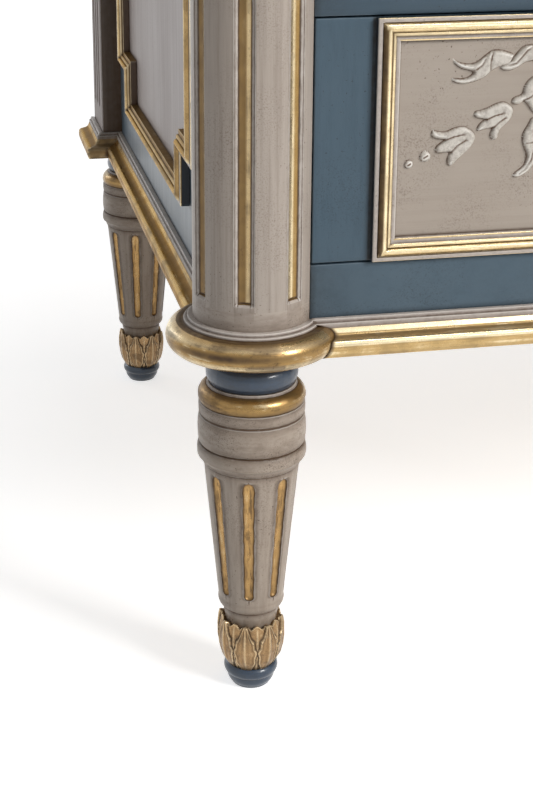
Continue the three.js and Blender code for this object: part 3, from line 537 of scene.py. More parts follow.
def report(*words):
    print(", ".join(f"{k}: {v} faces" for k, v in made.items() if any(w in k for w in words)))


print("pieces so far:", len(made))

# %% [markdown]
# ## Main measures
# The heights of the drawers are read from the CAD boxes, and the axes, faces and levels below are
# the CAD's own. Pieces are worked out for the left side of the chest and mirrored for the right.


# %% Measures
def millimetres(node):
    low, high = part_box(node)
    return [v * 1000 for v in low], [v * 1000 for v in high]


AXIS_X, AXIS_Y, POST_Y = -555.0, -246.0, 268.0
AXIS_SPAN, PULL_X = -2 * AXIS_X, AXIS_X + 250.0
BODY_LOW, RING_TOP, SKIRT_TOP, COLUMN_TOP, UNDER_TOP = 226.0, 245.6, 245.9, 781.5, 801.2
POST_NEAR, POST_FAR = 481.0, 547.0  # the faces of a back post, behind the column's axis
FLAT, FACE, COLUMN_RADIUS = 30.02, 18.3, 35.0
FRONT, SIDE = AXIS_Y - 18.0, AXIS_X - 18.0
RAIL_HALF = 524.7  # from the middle of a rail to the flat of a column
SKIRT_CLEAR = 249.5  # the glaze beside the base moulding ends here
drawers = ("lower", "middle", "upper")
drawer_floor = {name: millimetres(f"{name}_drawer_front")[0][2] for name in drawers}
print("drawer fronts start at heights", {k: round(v, 1) for k, v in drawer_floor.items()})

# %% [markdown]
# ## Fluted columns
# The front columns are turned, and four flutes are cut down each one with a square end. Between
# a flute and the round there is a small lip. The lip stays taupe, and the channel is gilded.
# A boolean cut would leave ragged faces for the wear marks, so the cross-section is drawn point
# by point, and flutes open and close from row to row.


# %% Columns
FLUTE_T = np.array([-1.12, -1, -0.93, -0.82, -0.72, -0.67, -0.5, -0.25, 0, 0.25, 0.5, 0.67,
                    0.72, 0.82, 0.93, 1, 1.12])
FLUTE_HALF, FLUTE_DEPTH, FLUTE_RISE = 5.9, 3.0, 1.8


def channel(t):
    """Depth of a flute, from 0 at the lip to 1 in the middle."""
    t = np.abs(t)
    lip = np.interp(t, [0.67, 0.72, 0.82, 0.93, 1], [0.66, 0.4, 0.24, 0.16, 0])
    return np.where(t < 0.67, 0.66 + 0.34 * (1 - (t / 0.67) ** 2), lip)


flute_centres = [-135 + share * 360 / 7 for share in (1.5, 0.5, -0.5, -1.5)]
column_columns = []
for centre in flute_centres:
    spread = math.degrees(FLUTE_HALF / COLUMN_RADIUS)
    column_columns += [(centre + spread * t, t) for t in FLUTE_T]
taken = [angle % 360 for angle, _ in column_columns]
flat_angle = math.degrees(math.acos(FLAT / COLUMN_RADIUS))
plain = [-flat_angle, flat_angle, 90 - flat_angle, 90 + flat_angle]
for angle in list(np.arange(0, 360, 4.0)) + plain:
    if all(abs((angle - other + 180) % 360 - 180) > 1.2 for other in taken):
        column_columns.append((angle, None))
column_columns.sort(key=lambda pair: pair[0] % 360)
angles = np.radians([angle for angle, _ in column_columns])
depths = np.array([0.0 if t is None else float(channel(t)) for _, t in column_columns])
gold_here = [t is not None and abs(t) < 0.7 for _, t in column_columns]
lip_here = [t is not None and 0.66 < abs(t) <= 1 for _, t in column_columns]


def flute_wall_light(angle, t):
    """Painted highlight on the wall of a flute that faces the light, and painted shade in the gilding on the
    other.
    """
    if t is None or abs(t) > 0.6:
        return 0.0
    if abs(angle - flute_centres[0]) < 12:
        return -0.8 if t < 0.1 else 0.05
    return -0.35 if t > 0.2 else 0.42


flute_wall_lights = np.array([flute_wall_light(angle, t) for angle, t in column_columns])
lip_dirt = np.array([
    0.0 if t is None else max(0.0, 1 - abs(abs(t) - 0.7) / 0.05, 1 - abs(abs(t) - 1) / 0.08)
    for _, t in column_columns])
FLUTE_LOW, FLUTE_HIGH, FOOT_TOP = 260.2, 767.3, 257
heights = ([BODY_LOW, 236, RING_TOP, 246.6, 248.6, 252, FOOT_TOP]
           + [FLUTE_LOW, 260.7, 261.3, 262, 263, 265, 266.8, 268] + list(np.arange(290, 745, 30))
           + [760, 764.5, 765.5, 766.2, 766.8, FLUTE_HIGH, 772, 777, 779.5, COLUMN_TOP])
inside_flute = np.array([t is not None and abs(t) < 0.95 for _, t in column_columns])
rows, stains = [], []
for z in heights:
    opening = np.clip(min(z - FLUTE_LOW, FLUTE_HIGH - z) / FLUTE_RISE, 0, 1)
    radius = COLUMN_RADIUS - FLUTE_DEPTH * depths * opening
    x = np.minimum(radius * np.cos(angles), FLAT)
    y = np.minimum(radius * np.sin(angles), FLAT)
    rows.append(np.stack([AXIS_X + x, AXIS_Y + y, np.full_like(x, z)], axis=1))
    foot = max(0.0, 1 - abs(z - RING_TOP) / 9) if z < 300 else max(0.0, 1 - (COLUMN_TOP - z) / 5)
    open_low, open_high = FLUTE_LOW + FLUTE_RISE, FLUTE_HIGH - FLUTE_RISE
    at_end = 0.8 if abs(z - open_low) < 0.01 or abs(open_high - z) < 0.6 else 0.0
    smudge = 0.32 * math.exp(-((z - 255) / 5) ** 2) * inside_flute
    darkening = np.maximum(lip_dirt * 0.9 * (opening > 0), at_end * inside_flute)
    darkening = np.maximum(np.maximum(foot * 0.45, smudge), darkening)
    # Where no glaze is marked, the flute walls get their painted highlight and painted shade.
    stains.append(np.where(darkening > 0.05, darkening, flute_wall_lights * (opening > 0.9)))


def column_paint(i, j):
    middle = (heights[i] + heights[i + 1]) / 2
    k = (j + 1) % len(gold_here)
    if gold_here[j] and gold_here[k] and FLUTE_LOW + 1 < middle < FLUTE_HIGH - 1:
        return "gold_upright"
    in_flute = (gold_here[j] or lip_here[j]) and (gold_here[k] or lip_here[k])
    if in_flute and FLUTE_LOW < middle < FLUTE_HIGH:
        return "taupe_fillet"
    return "taupe_foot" if middle < FOOT_TOP else "taupe"


column_shape = Shape().skin(rows, column_paint, around=True, capped=True, stain=stains)
make_pair("column", column_shape, "carcass")
report("column")

# %% [markdown]
# ## Square back posts
# The back posts are square sticks with three thin flutes on the outer face only, and these
# flutes aren't gilded. They are drawn in the same way, from a square outline.

# %% Back posts
(left, near, _), (right, far, _) = millimetres("back_post_left")
CORNER = [(0.0, 1.2), (0.35, 0.35), (1.2, 0.0)]
POST_FLUTE_LOW, POST_FLUTE_DEPTH = 265, 2.5
# Every point of the outline has a third number: how deep a flute cuts in there.
post_outline = [(left + dx, near + dy, 0) for dx, dy in reversed(CORNER)] + [(left, near + 4, 0)]
post_outline += [(left, middle + 4 * t, POST_FLUTE_DEPTH * (1 - abs(t) ** 2.6))
                 for middle in (POST_Y - 16, POST_Y, POST_Y + 16)
                 for t in (-1, -0.9, -0.7, -0.35, 0, 0.35, 0.7, 0.9, 1)]
post_outline += [(left, far - 4, 0)] + [(left + dx, far - dy, 0) for dx, dy in CORNER]
post_outline += [(left + 5, far, 0), (right - 12.2, far, 0), (right - 12.2, far - 8.4, 0),
                 (right, far - 8.4, 0), (right, near + 5, 0)]
post_outline += [(right - dx, near + dy, 0) for dx, dy in CORNER]
# The strip of this width on the near face carries painted shade.
DARK_STRIP = 17  # the width of the shaded strip on the near face, beside the side board
post_outline += [(x, near, 0) for x in (right - 5, left + 22, left + DARK_STRIP, left + 5)]


# Painted shade on a back post: darkest along the inner edge of the near face's strip, lighter across the
# strip and over the outer face.
def post_painted_shade(x, y):
    if y < near + 0.1 and abs(x - left - DARK_STRIP) < 0.1:
        return 0.95
    if y < near + 0.1 and left + 1 < x < left + DARK_STRIP:
        return 0.4
    return 0.36 if x < left + 0.1 else 0.0


# The near face's strip is painted in the dark taupe of painted shade.
def post_paint(one, two):
    right_most, far_most = max(one[0], two[0]), max(one[1], two[1])
    if far_most < near + 0.1 and right_most < left + DARK_STRIP + 0.1:
        return "taupe_dark"
    return "taupe_side" if right_most < left + 2.6 else "taupe"


rows, stains = [], []
for z in heights:
    opening = np.clip(min(z - POST_FLUTE_LOW, FLUTE_HIGH - z) / FLUTE_RISE, 0, 1)
    rows.append([(x + depth * opening, y, z) for x, y, depth in post_outline])
    foot = max(0.0, 1 - abs(z - RING_TOP) / 5) if z < 300 else max(0.0, 1 - (COLUMN_TOP - z) / 4)
    stains.append([max(foot * 0.8, post_painted_shade(x, y)) for x, y, _ in post_outline])
post_paints = [post_paint(*ends) for ends in zip(post_outline, post_outline[1:] + post_outline[:1])]
post_shape = Shape().skin(rows, post_paints, around=True, capped=True, stain=stains)
make_pair("back_post", post_shape, "carcass")
report("post")

# %% [markdown]
# ## Turned legs
# A leg is turned in one piece: a blue neck, a gilded torus, a band, a drum and a ring, then a
# tapering shaft with eight gilded flutes with round ends, a carved cup of leaves and a bun foot.
# The lathe's outline is written once, and the points of each row slide sideways to follow the
# flutes, so that the gilding stops exactly at their edges.

# %% Leg outline
leg_points, leg_paints = outline(
    (0.5, 225.7),
    ("blue_turned", (20.8, 225.7), (20.8, 219.6), (25.4, 203.3, 4.3)),
    ("taupe_fillet", (26.5, 203.1), (26.9, 202.6), (27.3, 201.9)),
    ("gold_ring", (31.6, 192.4, 2.5), (31.2, 191.7)),
    ("taupe_drum", (31.9, 190.9, 0.15), (31.9, 185.1, 0.15), (31.1, 184.3), (31.2, 183.4),
     (31.9, 182.6, 0.2), (32.1, 166.6, 0.65), (31.2, 165.5, 0.15), (31.1, 164.7),
     (32.5, 163.8, 0.2), (32.7, 157.2, 0.4), (29.7, 152.6, -0.6), (28.9, 152.1)))
FLUTE_BOTTOM, FLUTE_CROWN, CLOSED = 66.5, 148.2, 0.35


def shaft_radius(z):
    return 19.2 + (28.9 - 19.2) * (z - 52) / (152.2 - 52)


def flute_half(z):
    """Half the width of a leg flute at a height, closing to round ends."""
    full = 2.9 + 0.75 * (z - FLUTE_BOTTOM) / (FLUTE_CROWN - FLUTE_BOTTOM)
    to_end = min(z - FLUTE_BOTTOM, FLUTE_CROWN - z)
    if to_end <= 0:
        return CLOSED
    full *= 1 + 0.05 * math.sin(z * 0.41) + 0.04 * math.sin(z * 0.93 + 1)
    return max(CLOSED, full * math.sqrt(max(0.0, 1 - max(0.0, 1 - to_end / full) ** 2)))


shaft_heights = ([151.0, 149.6, 148.8] + [FLUTE_CROWN - s for s in (0.05, 0.3, 0.7, 1.3, 2.1, 3.2)]
                 + list(np.arange(142, 71, -3.0))
                 + [FLUTE_BOTTOM + s for s in (3.4, 2.6, 1.9, 1.3, 0.7, 0.3, 0.05)] + [65.6, 63.0, 61.4])
low_points, low_paints = outline(
    (shaft_radius(61.4), 61.4),
    ("taupe_leg", (17.7, 55.2, 1.3), (17.2, 54.7), (17.3, 54.2), (16.6, 50.0, 0.2), (15.6, 44.0)))
turned_rows = [(r, z, 0.0) for r, z in leg_points]
turned_rows += [(shaft_radius(z), z, 1.0) for z in shaft_heights]
turned_rows += [(r, z, 0.0) for r, z in low_points[1:]]
row_paints = leg_paints + ["taupe_leg"] * (len(shaft_heights) + len(low_paints))
ACROSS_FLUTE = np.array([-1, -0.93, -0.78, -0.5, -0.17, 0.17, 0.5, 0.78, 0.93])
VALLEYS = (203.3, 191.7, 184.0, 165.2, 152.1, 54.7, 47.5)
print("leg rows:", len(turned_rows))

# %% [markdown]
# The cup is carved with eight leaves like pointed arches, and eight more show between them. Its
# radius and height are written as functions of the share of the way up and of the place across
# one leaf. A rib climbs the middle of each leaf, and a raised lip runs round its arch.


# %% Leaf cup
CUP_LOW, CUP_HIGH = 14.6, 46.1


def rise(value, low, high):
    s = np.clip((value - low) / (high - low), 0, 1)
    return s * s * (3 - 2 * s)


def cup_surface(share, u):
    """Radius and height on the carved cup; u runs from -1 to 1 across one leaf."""
    wide, between = np.abs(u), 1 - np.abs(u)
    z = CUP_LOW + (CUP_HIGH + 1.1 * np.cos(2 * math.pi * wide) - CUP_LOW) * share
    body = np.interp(z, [CUP_LOW, 17, 21, 28, 34, 40, 44.5, 48],
                     [15.2, 16.5, 18.3, 20.0, 20.6, 20.5, 19.9, 19.2])
    width = 0.93 * math.sin(math.pi * (0.2 + 0.74 * share)) * (1 - 0.06 * math.sin(share * 24))
    across = wide / width
    fade, flare = 1 - 0.75 * rise(share, 0.82, 1), 0.7 * rise(share, 0.8, 1)
    ribs = (0.8 * np.exp(-(across / 0.2) ** 2) + 0.22 * np.exp(-((across - 0.52) / 0.22) ** 2)
            + 0.8 * np.exp(-((across - 0.93) / 0.16) ** 2))
    first = body - 0.1 + fade * ribs * rise(share, 0.0, 0.25) - 0.7 * wide ** 2 + flare
    veins = 0.5 * np.exp(-(between / 0.15) ** 2)
    second = body - 1.0 + fade * veins
    return second + (first - second) * rise(width - wide, -0.05, 0.06), z


LEAF_STEPS = 36
cup_shares = np.concatenate([np.linspace(1, 0.72, 14), np.linspace(0.69, 0, 26)])
cup_u = np.concatenate([np.linspace(-1, 1, LEAF_STEPS, endpoint=False)] * 8)
cup_angle = np.radians(-112 + np.concatenate(
    [45 * k + 22.5 * np.linspace(-1, 1, LEAF_STEPS, endpoint=False) for k in range(8)]))


def leg_shape(centre_x, centre_y):
    shape = Shape()
    rows = []
    for radius, z, fluted in turned_rows:
        half = flute_half(z) if fluted else CLOSED
        cut = min(2.2, 0.72 * half) if half > CLOSED + 0.01 else 0.0
        row = []
        for k in range(8):
            middle = math.radians(-105 + 45 * k)
            reach = half / radius
            gap = (math.pi / 4 - 2 * reach) / 4
            for t in ACROSS_FLUTE:
                deep = cut * math.sqrt(max(0.0, 1 - t * t))
                row.append((middle + reach * t, radius - deep))
            row += [(middle + reach + gap * step, radius) for step in range(4)]
        rows.append([(centre_x + r * math.cos(a), centre_y + r * math.sin(a), z) for a, r in row])
    per_sector = len(ACROSS_FLUTE) + 4

    def paint_of(i, j):
        (_, top, fluted), (_, bottom, fluted_below) = turned_rows[i:i + 2]
        between = top < FLUTE_CROWN + 0.1 and bottom > FLUTE_BOTTOM - 0.1
        if fluted and fluted_below and between and j % per_sector < len(ACROSS_FLUTE):
            return "gold_flute"
        return row_paints[i]

    rim = ([1.0, 0.75] + [0.0] * (len(ACROSS_FLUTE) - 3) + [0.75, 1.0] + [0.0] * 3) * 8
    darkening = []
    for _, z, fluted in turned_rows:
        ring_dirt = 0.75 * max(math.exp(-abs(z - v) / 2.4) for v in VALLEYS)
        cut = 0.9 if fluted and FLUTE_BOTTOM - 0.1 < z < FLUTE_CROWN + 0.1 else 0.0
        darkening.append([max(ring_dirt, cut * at_rim) for at_rim in rim])
    shape.skin(rows, paint_of, around=True, capped=True, stain=darkening)
    outer = [cup_surface(share, cup_u) for share in cup_shares]
    rim_radius, rim_height = outer[0]
    inner = [(np.full_like(rim_radius, 15.4), np.full_like(rim_radius, 38.0)),
             (np.full_like(rim_radius, 15.8), rim_height - 1.0), (rim_radius - 1.3, rim_height - 0.1),
             (rim_radius - 0.7, rim_height + 0.3)]
    cup = [np.stack([centre_x + r * np.cos(cup_angle), centre_y + r * np.sin(cup_angle), z], axis=1)
           for r, z in inner + outer]
    dark_rows = [[mark] * len(cup_angle) for mark in [0.4, 0.4, 0.0] + [0.0] * (len(cup) - 3)]
    shape.skin(cup, "gold_carved", around=True, stain=dark_rows)
    foot, _ = outline((15.0, 14.9), ("blue_turned", (15.6, 14.5), (15.9, 8.4, 1.1), (15.0, 7.8),
                                     (14.9, 7.2), (12.4, 1.2, 0.7), (11.4, 0.0, 0.3), (0.5, 0.0)))
    around = np.radians(np.arange(0, 360, 7.5))
    shape.skin([[(centre_x + r * math.cos(a), centre_y + r * math.sin(a), z) for a in around]
                for r, z in foot], "blue_turned", around=True, capped=True)
    return shape


front_leg, back_leg = leg_shape(AXIS_X, AXIS_Y), leg_shape(AXIS_X, POST_Y)
leg_nodes = [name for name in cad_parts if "leg" in name]
print("legs in the CAD:", leg_nodes)

# %% Legs
for name, shape in (("front_leg", front_leg), ("back_leg", back_leg)):
    make_pair(name, shape, "carcass", 30)
report("leg")

# %% [markdown]
# ## Mouldings that follow a path
# A straight moulding is planed to one outline along its whole length and mitred at each corner.
# `run_moulding` does the same: it sets the outline at every corner of a path, stretched along
# the mitre. Two more rows close to each corner keep wear at a mitre from spreading down the run.


# %% Moulding helper
def run_moulding(path, points, closed, place, near=2.5):
    """Rows of an outline along a path; its first number stands off to the right of the path."""
    path = [np.array(p, float) for p in path]
    count = len(path)
    ways = [path[(i + 1) % count] - path[i] for i in range(count)]
    ways = [way / np.hypot(*way) for way in ways]
    rights = [np.array([way[1], -way[0]]) for way in ways]
    corners = []
    for i in range(count):
        before = rights[i - 1] if closed or i else rights[0]
        after = rights[i] if closed or i < count - 1 else rights[i - 1]
        mitre = (before + after) / (1 + float(before @ after))
        corners.append(path[i] + points[:, :1] * mitre)
    rows = []
    for i in range(count if closed else count - 1):
        j = (i + 1) % count
        for base, shift in ((corners[i], 0), (corners[i], near), (corners[j], -near), (corners[j], 0)):
            flat_row = base + shift * ways[i]
            rows.append([place(a, b, h) for (a, b), h in zip(flat_row, points[:, 1])])
    return rows


def local_to_front(a, b, h):
    return (AXIS_X + a, FRONT - h, b)


def local_to_side(a, b, h):
    return (SIDE - h, AXIS_Y + a, b)


# %% [markdown]
# ## The frames on drawers and sides
# A gilded bead is planted on each drawer front and on the sides. From outside to inside it has a
# taupe fillet, a gilded roll that climbs to a crest, a small second bead and a taupe fillet with
# a gilded edge next to the field. The faces that look up get painted highlights, the second bead
# a weaker one, and on the upright runs the crest gets a painted highlight and the outer slope
# painted shade. On the sides its corners step inwards, and it stands 2 mm higher.

# %% Bead frames
BEAD = 13.4
bead_points, bead_paints = outline(
    (0.0, 0.3), ("blue_black", (0.05, 3.5)), ("rim", (0.1, 4.0), (0.5, 4.5, 0.1)),
    ("taupe_fillet", (2.2, 4.7), (2.6, 4.4, 0.05)),
    ("gold", (2.8, 4.1), (5.8, 7.5, 0.6), (8.0, 5.9, 0.5), (8.2, 5.2), (10.5, 4.5, 0.6)),
    ("taupe_fillet", (10.7, 3.7), (11.0, 3.5), (12.4, 3.4)),
    ("rim", (13.1, 3.3), (13.3, 3.0, 0.05)), ("taupe_fillet", (BEAD, 0.3)))
bead_dirt = [0.8 if 2.65 < a < 2.9 or 8.05 < a < 8.3 or 10.6 < a < 10.8 else
             0.7 if a > 13.35 else 0.0 for a, _ in bead_points]


def bead_dirt_and_light(bright_low, bright_high, dark_low=0.0, dark_high=0.0):
    """Marks across the outline of one run: glaze in its valleys, a strip of painted highlight, a strip of
    painted shade, and a weaker painted highlight on the second bead.
    """
    return [darkening if darkening else -0.95 if bright_low < a < bright_high else
            0.7 if dark_low < a < dark_high else -0.3 if 8.9 < a < 10 else 0.0
            for (a, _), darkening in zip(bead_points, bead_dirt)]


side_bead_points = bead_points + np.array([0.0, 2.0]) * (bead_points[:, 1:] > 0.5)


def grained_paints(paints, ways):
    """Each run gets its own gilding: brush marks along it, and a lit or a shaded copy painted for the way it
    faces.
    """
    def choose(i, j):
        way = ways[min(i // 4, len(ways) - 1)]
        rim = "taupe_fillet" if way == "gold_frame" else way
        # The inner wall of a side frame is painted shade: shaded gilding on the side runs, dark taupe on the
        # upright runs.
        wall = "gold_deep" if way == "gold_deep" else "taupe_dark"
        return {"gold": way, "rim": rim, "wall": wall}.get(paints[j], paints[j])
    return choose


frame_paints = bead_paints + ["taupe_fillet"]
moulding_reach, FRONT_HEIGHT = FLAT + 35.6, 140.5
for name in drawers:
    floor = drawer_floor[name]
    crown, far = floor + FRONT_HEIGHT, AXIS_SPAN - moulding_reach
    path = [(moulding_reach, floor), (moulding_reach, crown), (far, crown), (far, floor)]
    rows = run_moulding(path, bead_points, True, local_to_front)
    ways = ["gold_frame", "gold_along"] * 2
    upright_marks = bead_dirt_and_light(5.6, 6.7, 2.9, 5.3)
    marks = [bead_dirt_and_light(3.6, 5.2)] * 4 + [upright_marks] * 4 + [bead_dirt_and_light(5.9, 7.2)] * 4
    shape = Shape().skin(rows, grained_paints(frame_paints, ways), around=True,
                         stain=[upright_marks] * 4 + marks)
    make_piece(f"{name}_drawer_bead", shape, f"{name}_drawer", [f"{name}_drawer_moulding"])
near_y, far_y, low_z, high_z = FLAT + 39, POST_NEAR - 56, BODY_LOW + 54, 801.5 - 54
step_y, step_back, step_low, step_high = near_y + 43, far_y - 43, low_z + 35, high_z - 35
side_path = [(near_y, step_low), (near_y, step_high), (step_y, step_high), (step_y, high_z),
             (step_back, high_z), (step_back, step_high), (far_y, step_high), (far_y, step_low),
             (step_back, step_low), (step_back, low_z), (step_y, low_z), (step_y, step_low)]
rows = run_moulding(side_path, side_bead_points, True, local_to_side)
ways = ["gold_upright", "gold_deep"] * 6
side_paints = ["gold" if 7 < a < 12.6 else kind for (a, _), kind in zip(bead_points[1:], bead_paints)]
# On the sides the inner half of the bead carries painted shade, over the glaze in its valleys.
side_bead_dirt_and_shade = [max(darkening, 0.5 if a > 10.5 else 0.3 if a > 8 else 0.0)
              for (a, _), darkening in zip(bead_points, bead_dirt)]
shape = Shape().skin(rows, grained_paints(side_paints[:-1] + ["wall"] * 2, ways), around=True,
                     stain=[side_bead_dirt_and_shade] * len(rows))
make_pair("side_moulding", shape, "carcass")
report("bead", "side_moulding")

# %% [markdown]
# ## The skirt
# A moulding runs round the foot of the body: two taupe fillets, then a gilded ogee, which is a
# hollow that turns into a round nose. Round each column it swells into a fat gilded ring. The
# straight runs are coped, which means that their ends are cut to the shape of the ring they
# meet. The same moulding, turned over, carries the top.

# %% Skirt outlines
skirt_points, skirt_paints = outline(
    (0.0, 20.0),
    ("taupe_fillet", (2.7, 20.0), (3.1, 19.6, 0.1), (3.3, 18.1), (3.7, 17.8), (4.4, 17.7),
     (4.7, 17.3, 0.1), (4.8, 14.9)),
    ("gold", (5.0, 14.5), (6.0, 12.4), (7.9, 10.8, -0.25), (10.4, 10.1, -0.1), (11.3, 9.8),
     (14.4, 6.4, 1.1), (14.5, 3.6, 0.1), (13.5, 0.2, 0.3), (12.4, -0.6, 0.15), (0.0, -0.6)))
# Glaze in the quirks of the fillets and where the gold meets them, a darker band in the hollow of the ogee,
# and painted highlights on the faces of the gold that look up.
skirt_dirt_and_light = [0.8 if 17.7 < h < 18.2 and a < 4 or 14.6 < h < 15.0 else
              0.45 if 10.0 < h < 11.2 else -0.95 if 12.0 < h < 14.6 or 7.0 < h < 9.7 else 0.0
              for a, h in skirt_points]
ring_points, ring_paints = outline(
    (30.0, 19.6),
    ("taupe_fillet", (35.4, 19.6), (37.6, 19.5), (38.1, 19.0, 0.15), (38.3, 17.9), (39.9, 17.6),
     (40.3, 17.2, 0.1), (40.4, 16.2)),
    ("gold_ring", (41.2, 15.9), (44.9, -1.0, 8.0), (43.6, -1.1), (30.0, -1.1)))
ring_reach = float(ring_points[:, 0].max())
print("skirt stands out", round(float(skirt_points[:, 0].max()), 2), "and the ring", round(ring_reach, 2))


# %% Rings and coped runs
def skirt_level(height, flip):
    """A height on the base moulding or, with its top at flip, on the one turned over."""
    return BODY_LOW + height if flip is None else flip - height * 0.97


def ring_skin(flip=None):
    """A ring round the front left column that stops against the rail and the side board."""
    rows, marks = [], []
    steps = range(97)
    ends = [max(0.0, 0.8 - min(j, steps[-1] - j) * 0.11) for j in steps]
    for radius, height in ring_points:
        valley = 0.7 if 17.75 < height < 18.1 or 15.7 < height < 16.4 else 0.0
        # Painted reflections in the gilded ring: a dark belt across its front, and painted highlights on its
        # upper face, along its lower edge and on its left shoulder; glaze stays in its valleys and at its cut
        # ends.
        high, low = math.exp(-((height - 13) / 1.9) ** 2), math.exp(-((height - 2.4) / 2.0) ** 2)
        reflection_belt = math.exp(-((height - 8.8) / 2.6) ** 2)
        tone = [0.85 * reflection_belt * math.exp(-((j - 54) / 20) ** 2) - 0.35 * high - 0.6 * low
                - 1.0 * math.exp(-((height - 11.5) / 4) ** 2 - ((j - 24) / 13) ** 2) for j in steps]
        dark = [max(valley, end) for end in ends]
        marks.append([darkening if darkening > 0.05 else mark for darkening, mark in zip(dark, tone)])
        limit = math.radians(135) - math.asin(FACE / radius)
        sweep = np.linspace(-1, 1, len(steps)) * limit + math.radians(-135)
        z = skirt_level(height, flip)
        rows.append(np.stack([AXIS_X + radius * np.cos(sweep), AXIS_Y + radius * np.sin(sweep),
                              np.full(len(steps), z)], axis=1))
    return Shape().skin(rows + rows[:1], lambda i, j: ring_paints[min(i, len(ring_paints) - 1)],
                        stain=marks + marks[:1])


def ring_radius_at(height):
    """How far the ring reaches at a height, for coping the runs against it."""
    best = 36.0
    for (r0, h0), (r1, h1) in zip(ring_points[:-1], ring_points[1:]):
        if min(h0, h1) - 1e-6 <= height <= max(h0, h1) + 1e-6:
            share = 0.5 if abs(h1 - h0) < 1e-6 else (height - h0) / (h1 - h0)
            best = max(best, r0 + share * (r1 - r0))
    return best


def coped(offset, height, along=0.5):
    across = FACE + offset
    return math.sqrt(max(ring_radius_at(height) ** 2 - across ** 2, 30.2 ** 2)) + along


def skirt_front(flip=None):
    rows = []
    for far, shift in ((False, 0), (False, 2.5), (True, -2.5), (True, 0)):
        row = []
        for offset, height in skirt_points:
            reach = coped(offset, height) + abs(shift)
            x = (AXIS_SPAN - reach if far else reach) + AXIS_X
            row.append((x, AXIS_Y - FACE - offset, skirt_level(height, flip)))
        rows.append(row)
    marks = [[end or darkening for darkening in skirt_dirt_and_light] for end in (1.0, 0.0, 0.0, 1.0)]
    return Shape().skin(rows, grained_paints(skirt_paints + ["gold"], ["gold_along"]), around=True,
                        capped=True, stain=marks)


def skirt_side(flip=None):
    def place(a, b, h):
        return (AXIS_X + a, AXIS_Y + b, skirt_level(h, flip))
    wide, near_post = COLUMN_RADIUS + 0.3, POST_NEAR - 0.3
    path = [(-wide, POST_FAR), (-wide, near_post), (-FACE, near_post), (-FACE, 60.0)]
    rows = run_moulding(path, skirt_points, False, place)
    for shift in (2.5, 0.0):
        rows.append([place(-FACE - o, coped(o, h) + shift, h) for o, h in skirt_points])
    # Painted shade on the return that faces the front beside the post, a dark joint at the coped end, and
    # weaker painted highlights on the sides.
    return_shade_and_joint = [0.0] * 4 + [0.65] * 4 + [0.0] * 5 + [1.0]
    marks = [[mark or (darkening if darkening > 0 else 0.55 * darkening) for darkening in skirt_dirt_and_light] for mark in return_shade_and_joint]
    ways = ["gold_deep", "gold_along", "gold_deep"]
    return Shape().skin(rows, grained_paints(skirt_paints + ["gold"], ways), around=True,
                        capped=True, stain=marks)


make_pair("base_ring", ring_skin(), "carcass")
make_piece("base_moulding_front_dressed", skirt_front(), "carcass", ["base_moulding_front"])
make_pair("base_moulding", skirt_side(), "carcass")
report("base_")

# %% [markdown]
# ## Flat boards
# A real board never has a razor edge. `board` makes a box with rounded edges and with lines of
# points where they are wanted: next to the edges, so that wear stays there, and where a moulding
# is planted, because glaze and painted shade are laid beside it.


# %% Board helper
def ticks(low, high, extra, rounding, margin=4.0):
    values = [low, low + 0.35 * rounding, low + rounding]
    values += [high - rounding, high - 0.35 * rounding, high]
    if high - low > 3 * margin:
        values += [low + margin, high - margin]
    values += [v for v in extra if low + rounding < v < high - rounding]
    kept = []
    for value in sorted(values):
        if not kept or value - kept[-1] > 0.15:
            kept.append(value)
    kept[-1] = high
    return np.array(kept)


def board(low, high, paint, extra=((), (), ()), rounding=0.8, stain=None):
    """A box with rounded edges; paint may depend on the middle of a face and on its side."""
    low, high = np.array(low, float), np.array(high, float)
    lines = [ticks(low[k], high[k], extra[k], rounding) for k in range(3)]
    shape = Shape()
    for axis in range(3):
        one, two = [k for k in range(3) if k != axis]
        for side_name, value in ((-1, low[axis]), (1, high[axis])):
            grid = np.zeros((len(lines[one]), len(lines[two]), 3))
            grid[..., axis] = value
            grid[..., one] = lines[one][:, None]
            grid[..., two] = lines[two][None, :]
            core = np.clip(grid, low + rounding, high - rounding)
            away = grid - core
            length = np.linalg.norm(away, axis=2, keepdims=True)
            rounded = core + away * rounding / np.maximum(length, 1e-9)

            def face_paint(i, j, grid=grid, direction=side_name * (axis + 1)):
                if isinstance(paint, str):
                    return paint
                middle = (grid[i, j] + grid[i + 1, j + 1]) / 2
                return paint(middle, direction)

            marks = None if stain is None else [[stain(p) for p in row] for row in grid]
            shape.skin(rounded, face_paint, stain=marks)
    return shape


def inner_line(path, distance):
    """A closed path moved inwards."""
    rows = run_moulding(path, np.array([[distance, 0.0]]), True, lambda a, b, h: (a, b), 0)
    return np.array([row[0] for row in rows[::4]])


def distance_to_line(points, line, closed):
    line = np.array(line, float)
    ends = np.roll(line, -1, axis=0) if closed else line[1:]
    starts = line if closed else line[:-1]
    best = np.full(len(points), 1e9)
    for a, b in zip(starts, ends):
        t = np.clip((points - a) @ (b - a) / max((b - a) @ (b - a), 1e-9), 0, 1)
        best = np.minimum(best, np.linalg.norm(points - a - t[:, None] * (b - a), axis=1))
    return best


def within(points, loop):
    """Which points lie inside a closed line."""
    hit = np.zeros(len(points), bool)
    for (ax, ay), (bx, by) in zip(loop, np.roll(loop, -1, axis=0)):
        crossing = (ay > points[:, 1]) != (by > points[:, 1])
        where = ax + (points[:, 1] - ay) / (by - ay if by != ay else 1e-9) * (bx - ax)
        hit ^= crossing & (points[:, 0] < where)
    return hit


square = [(0, 0), (2, 0), (2, 2), (0, 2)]
print("a square's middle is inside it:", bool(within(np.array([[1, 1]]), square)[0]))


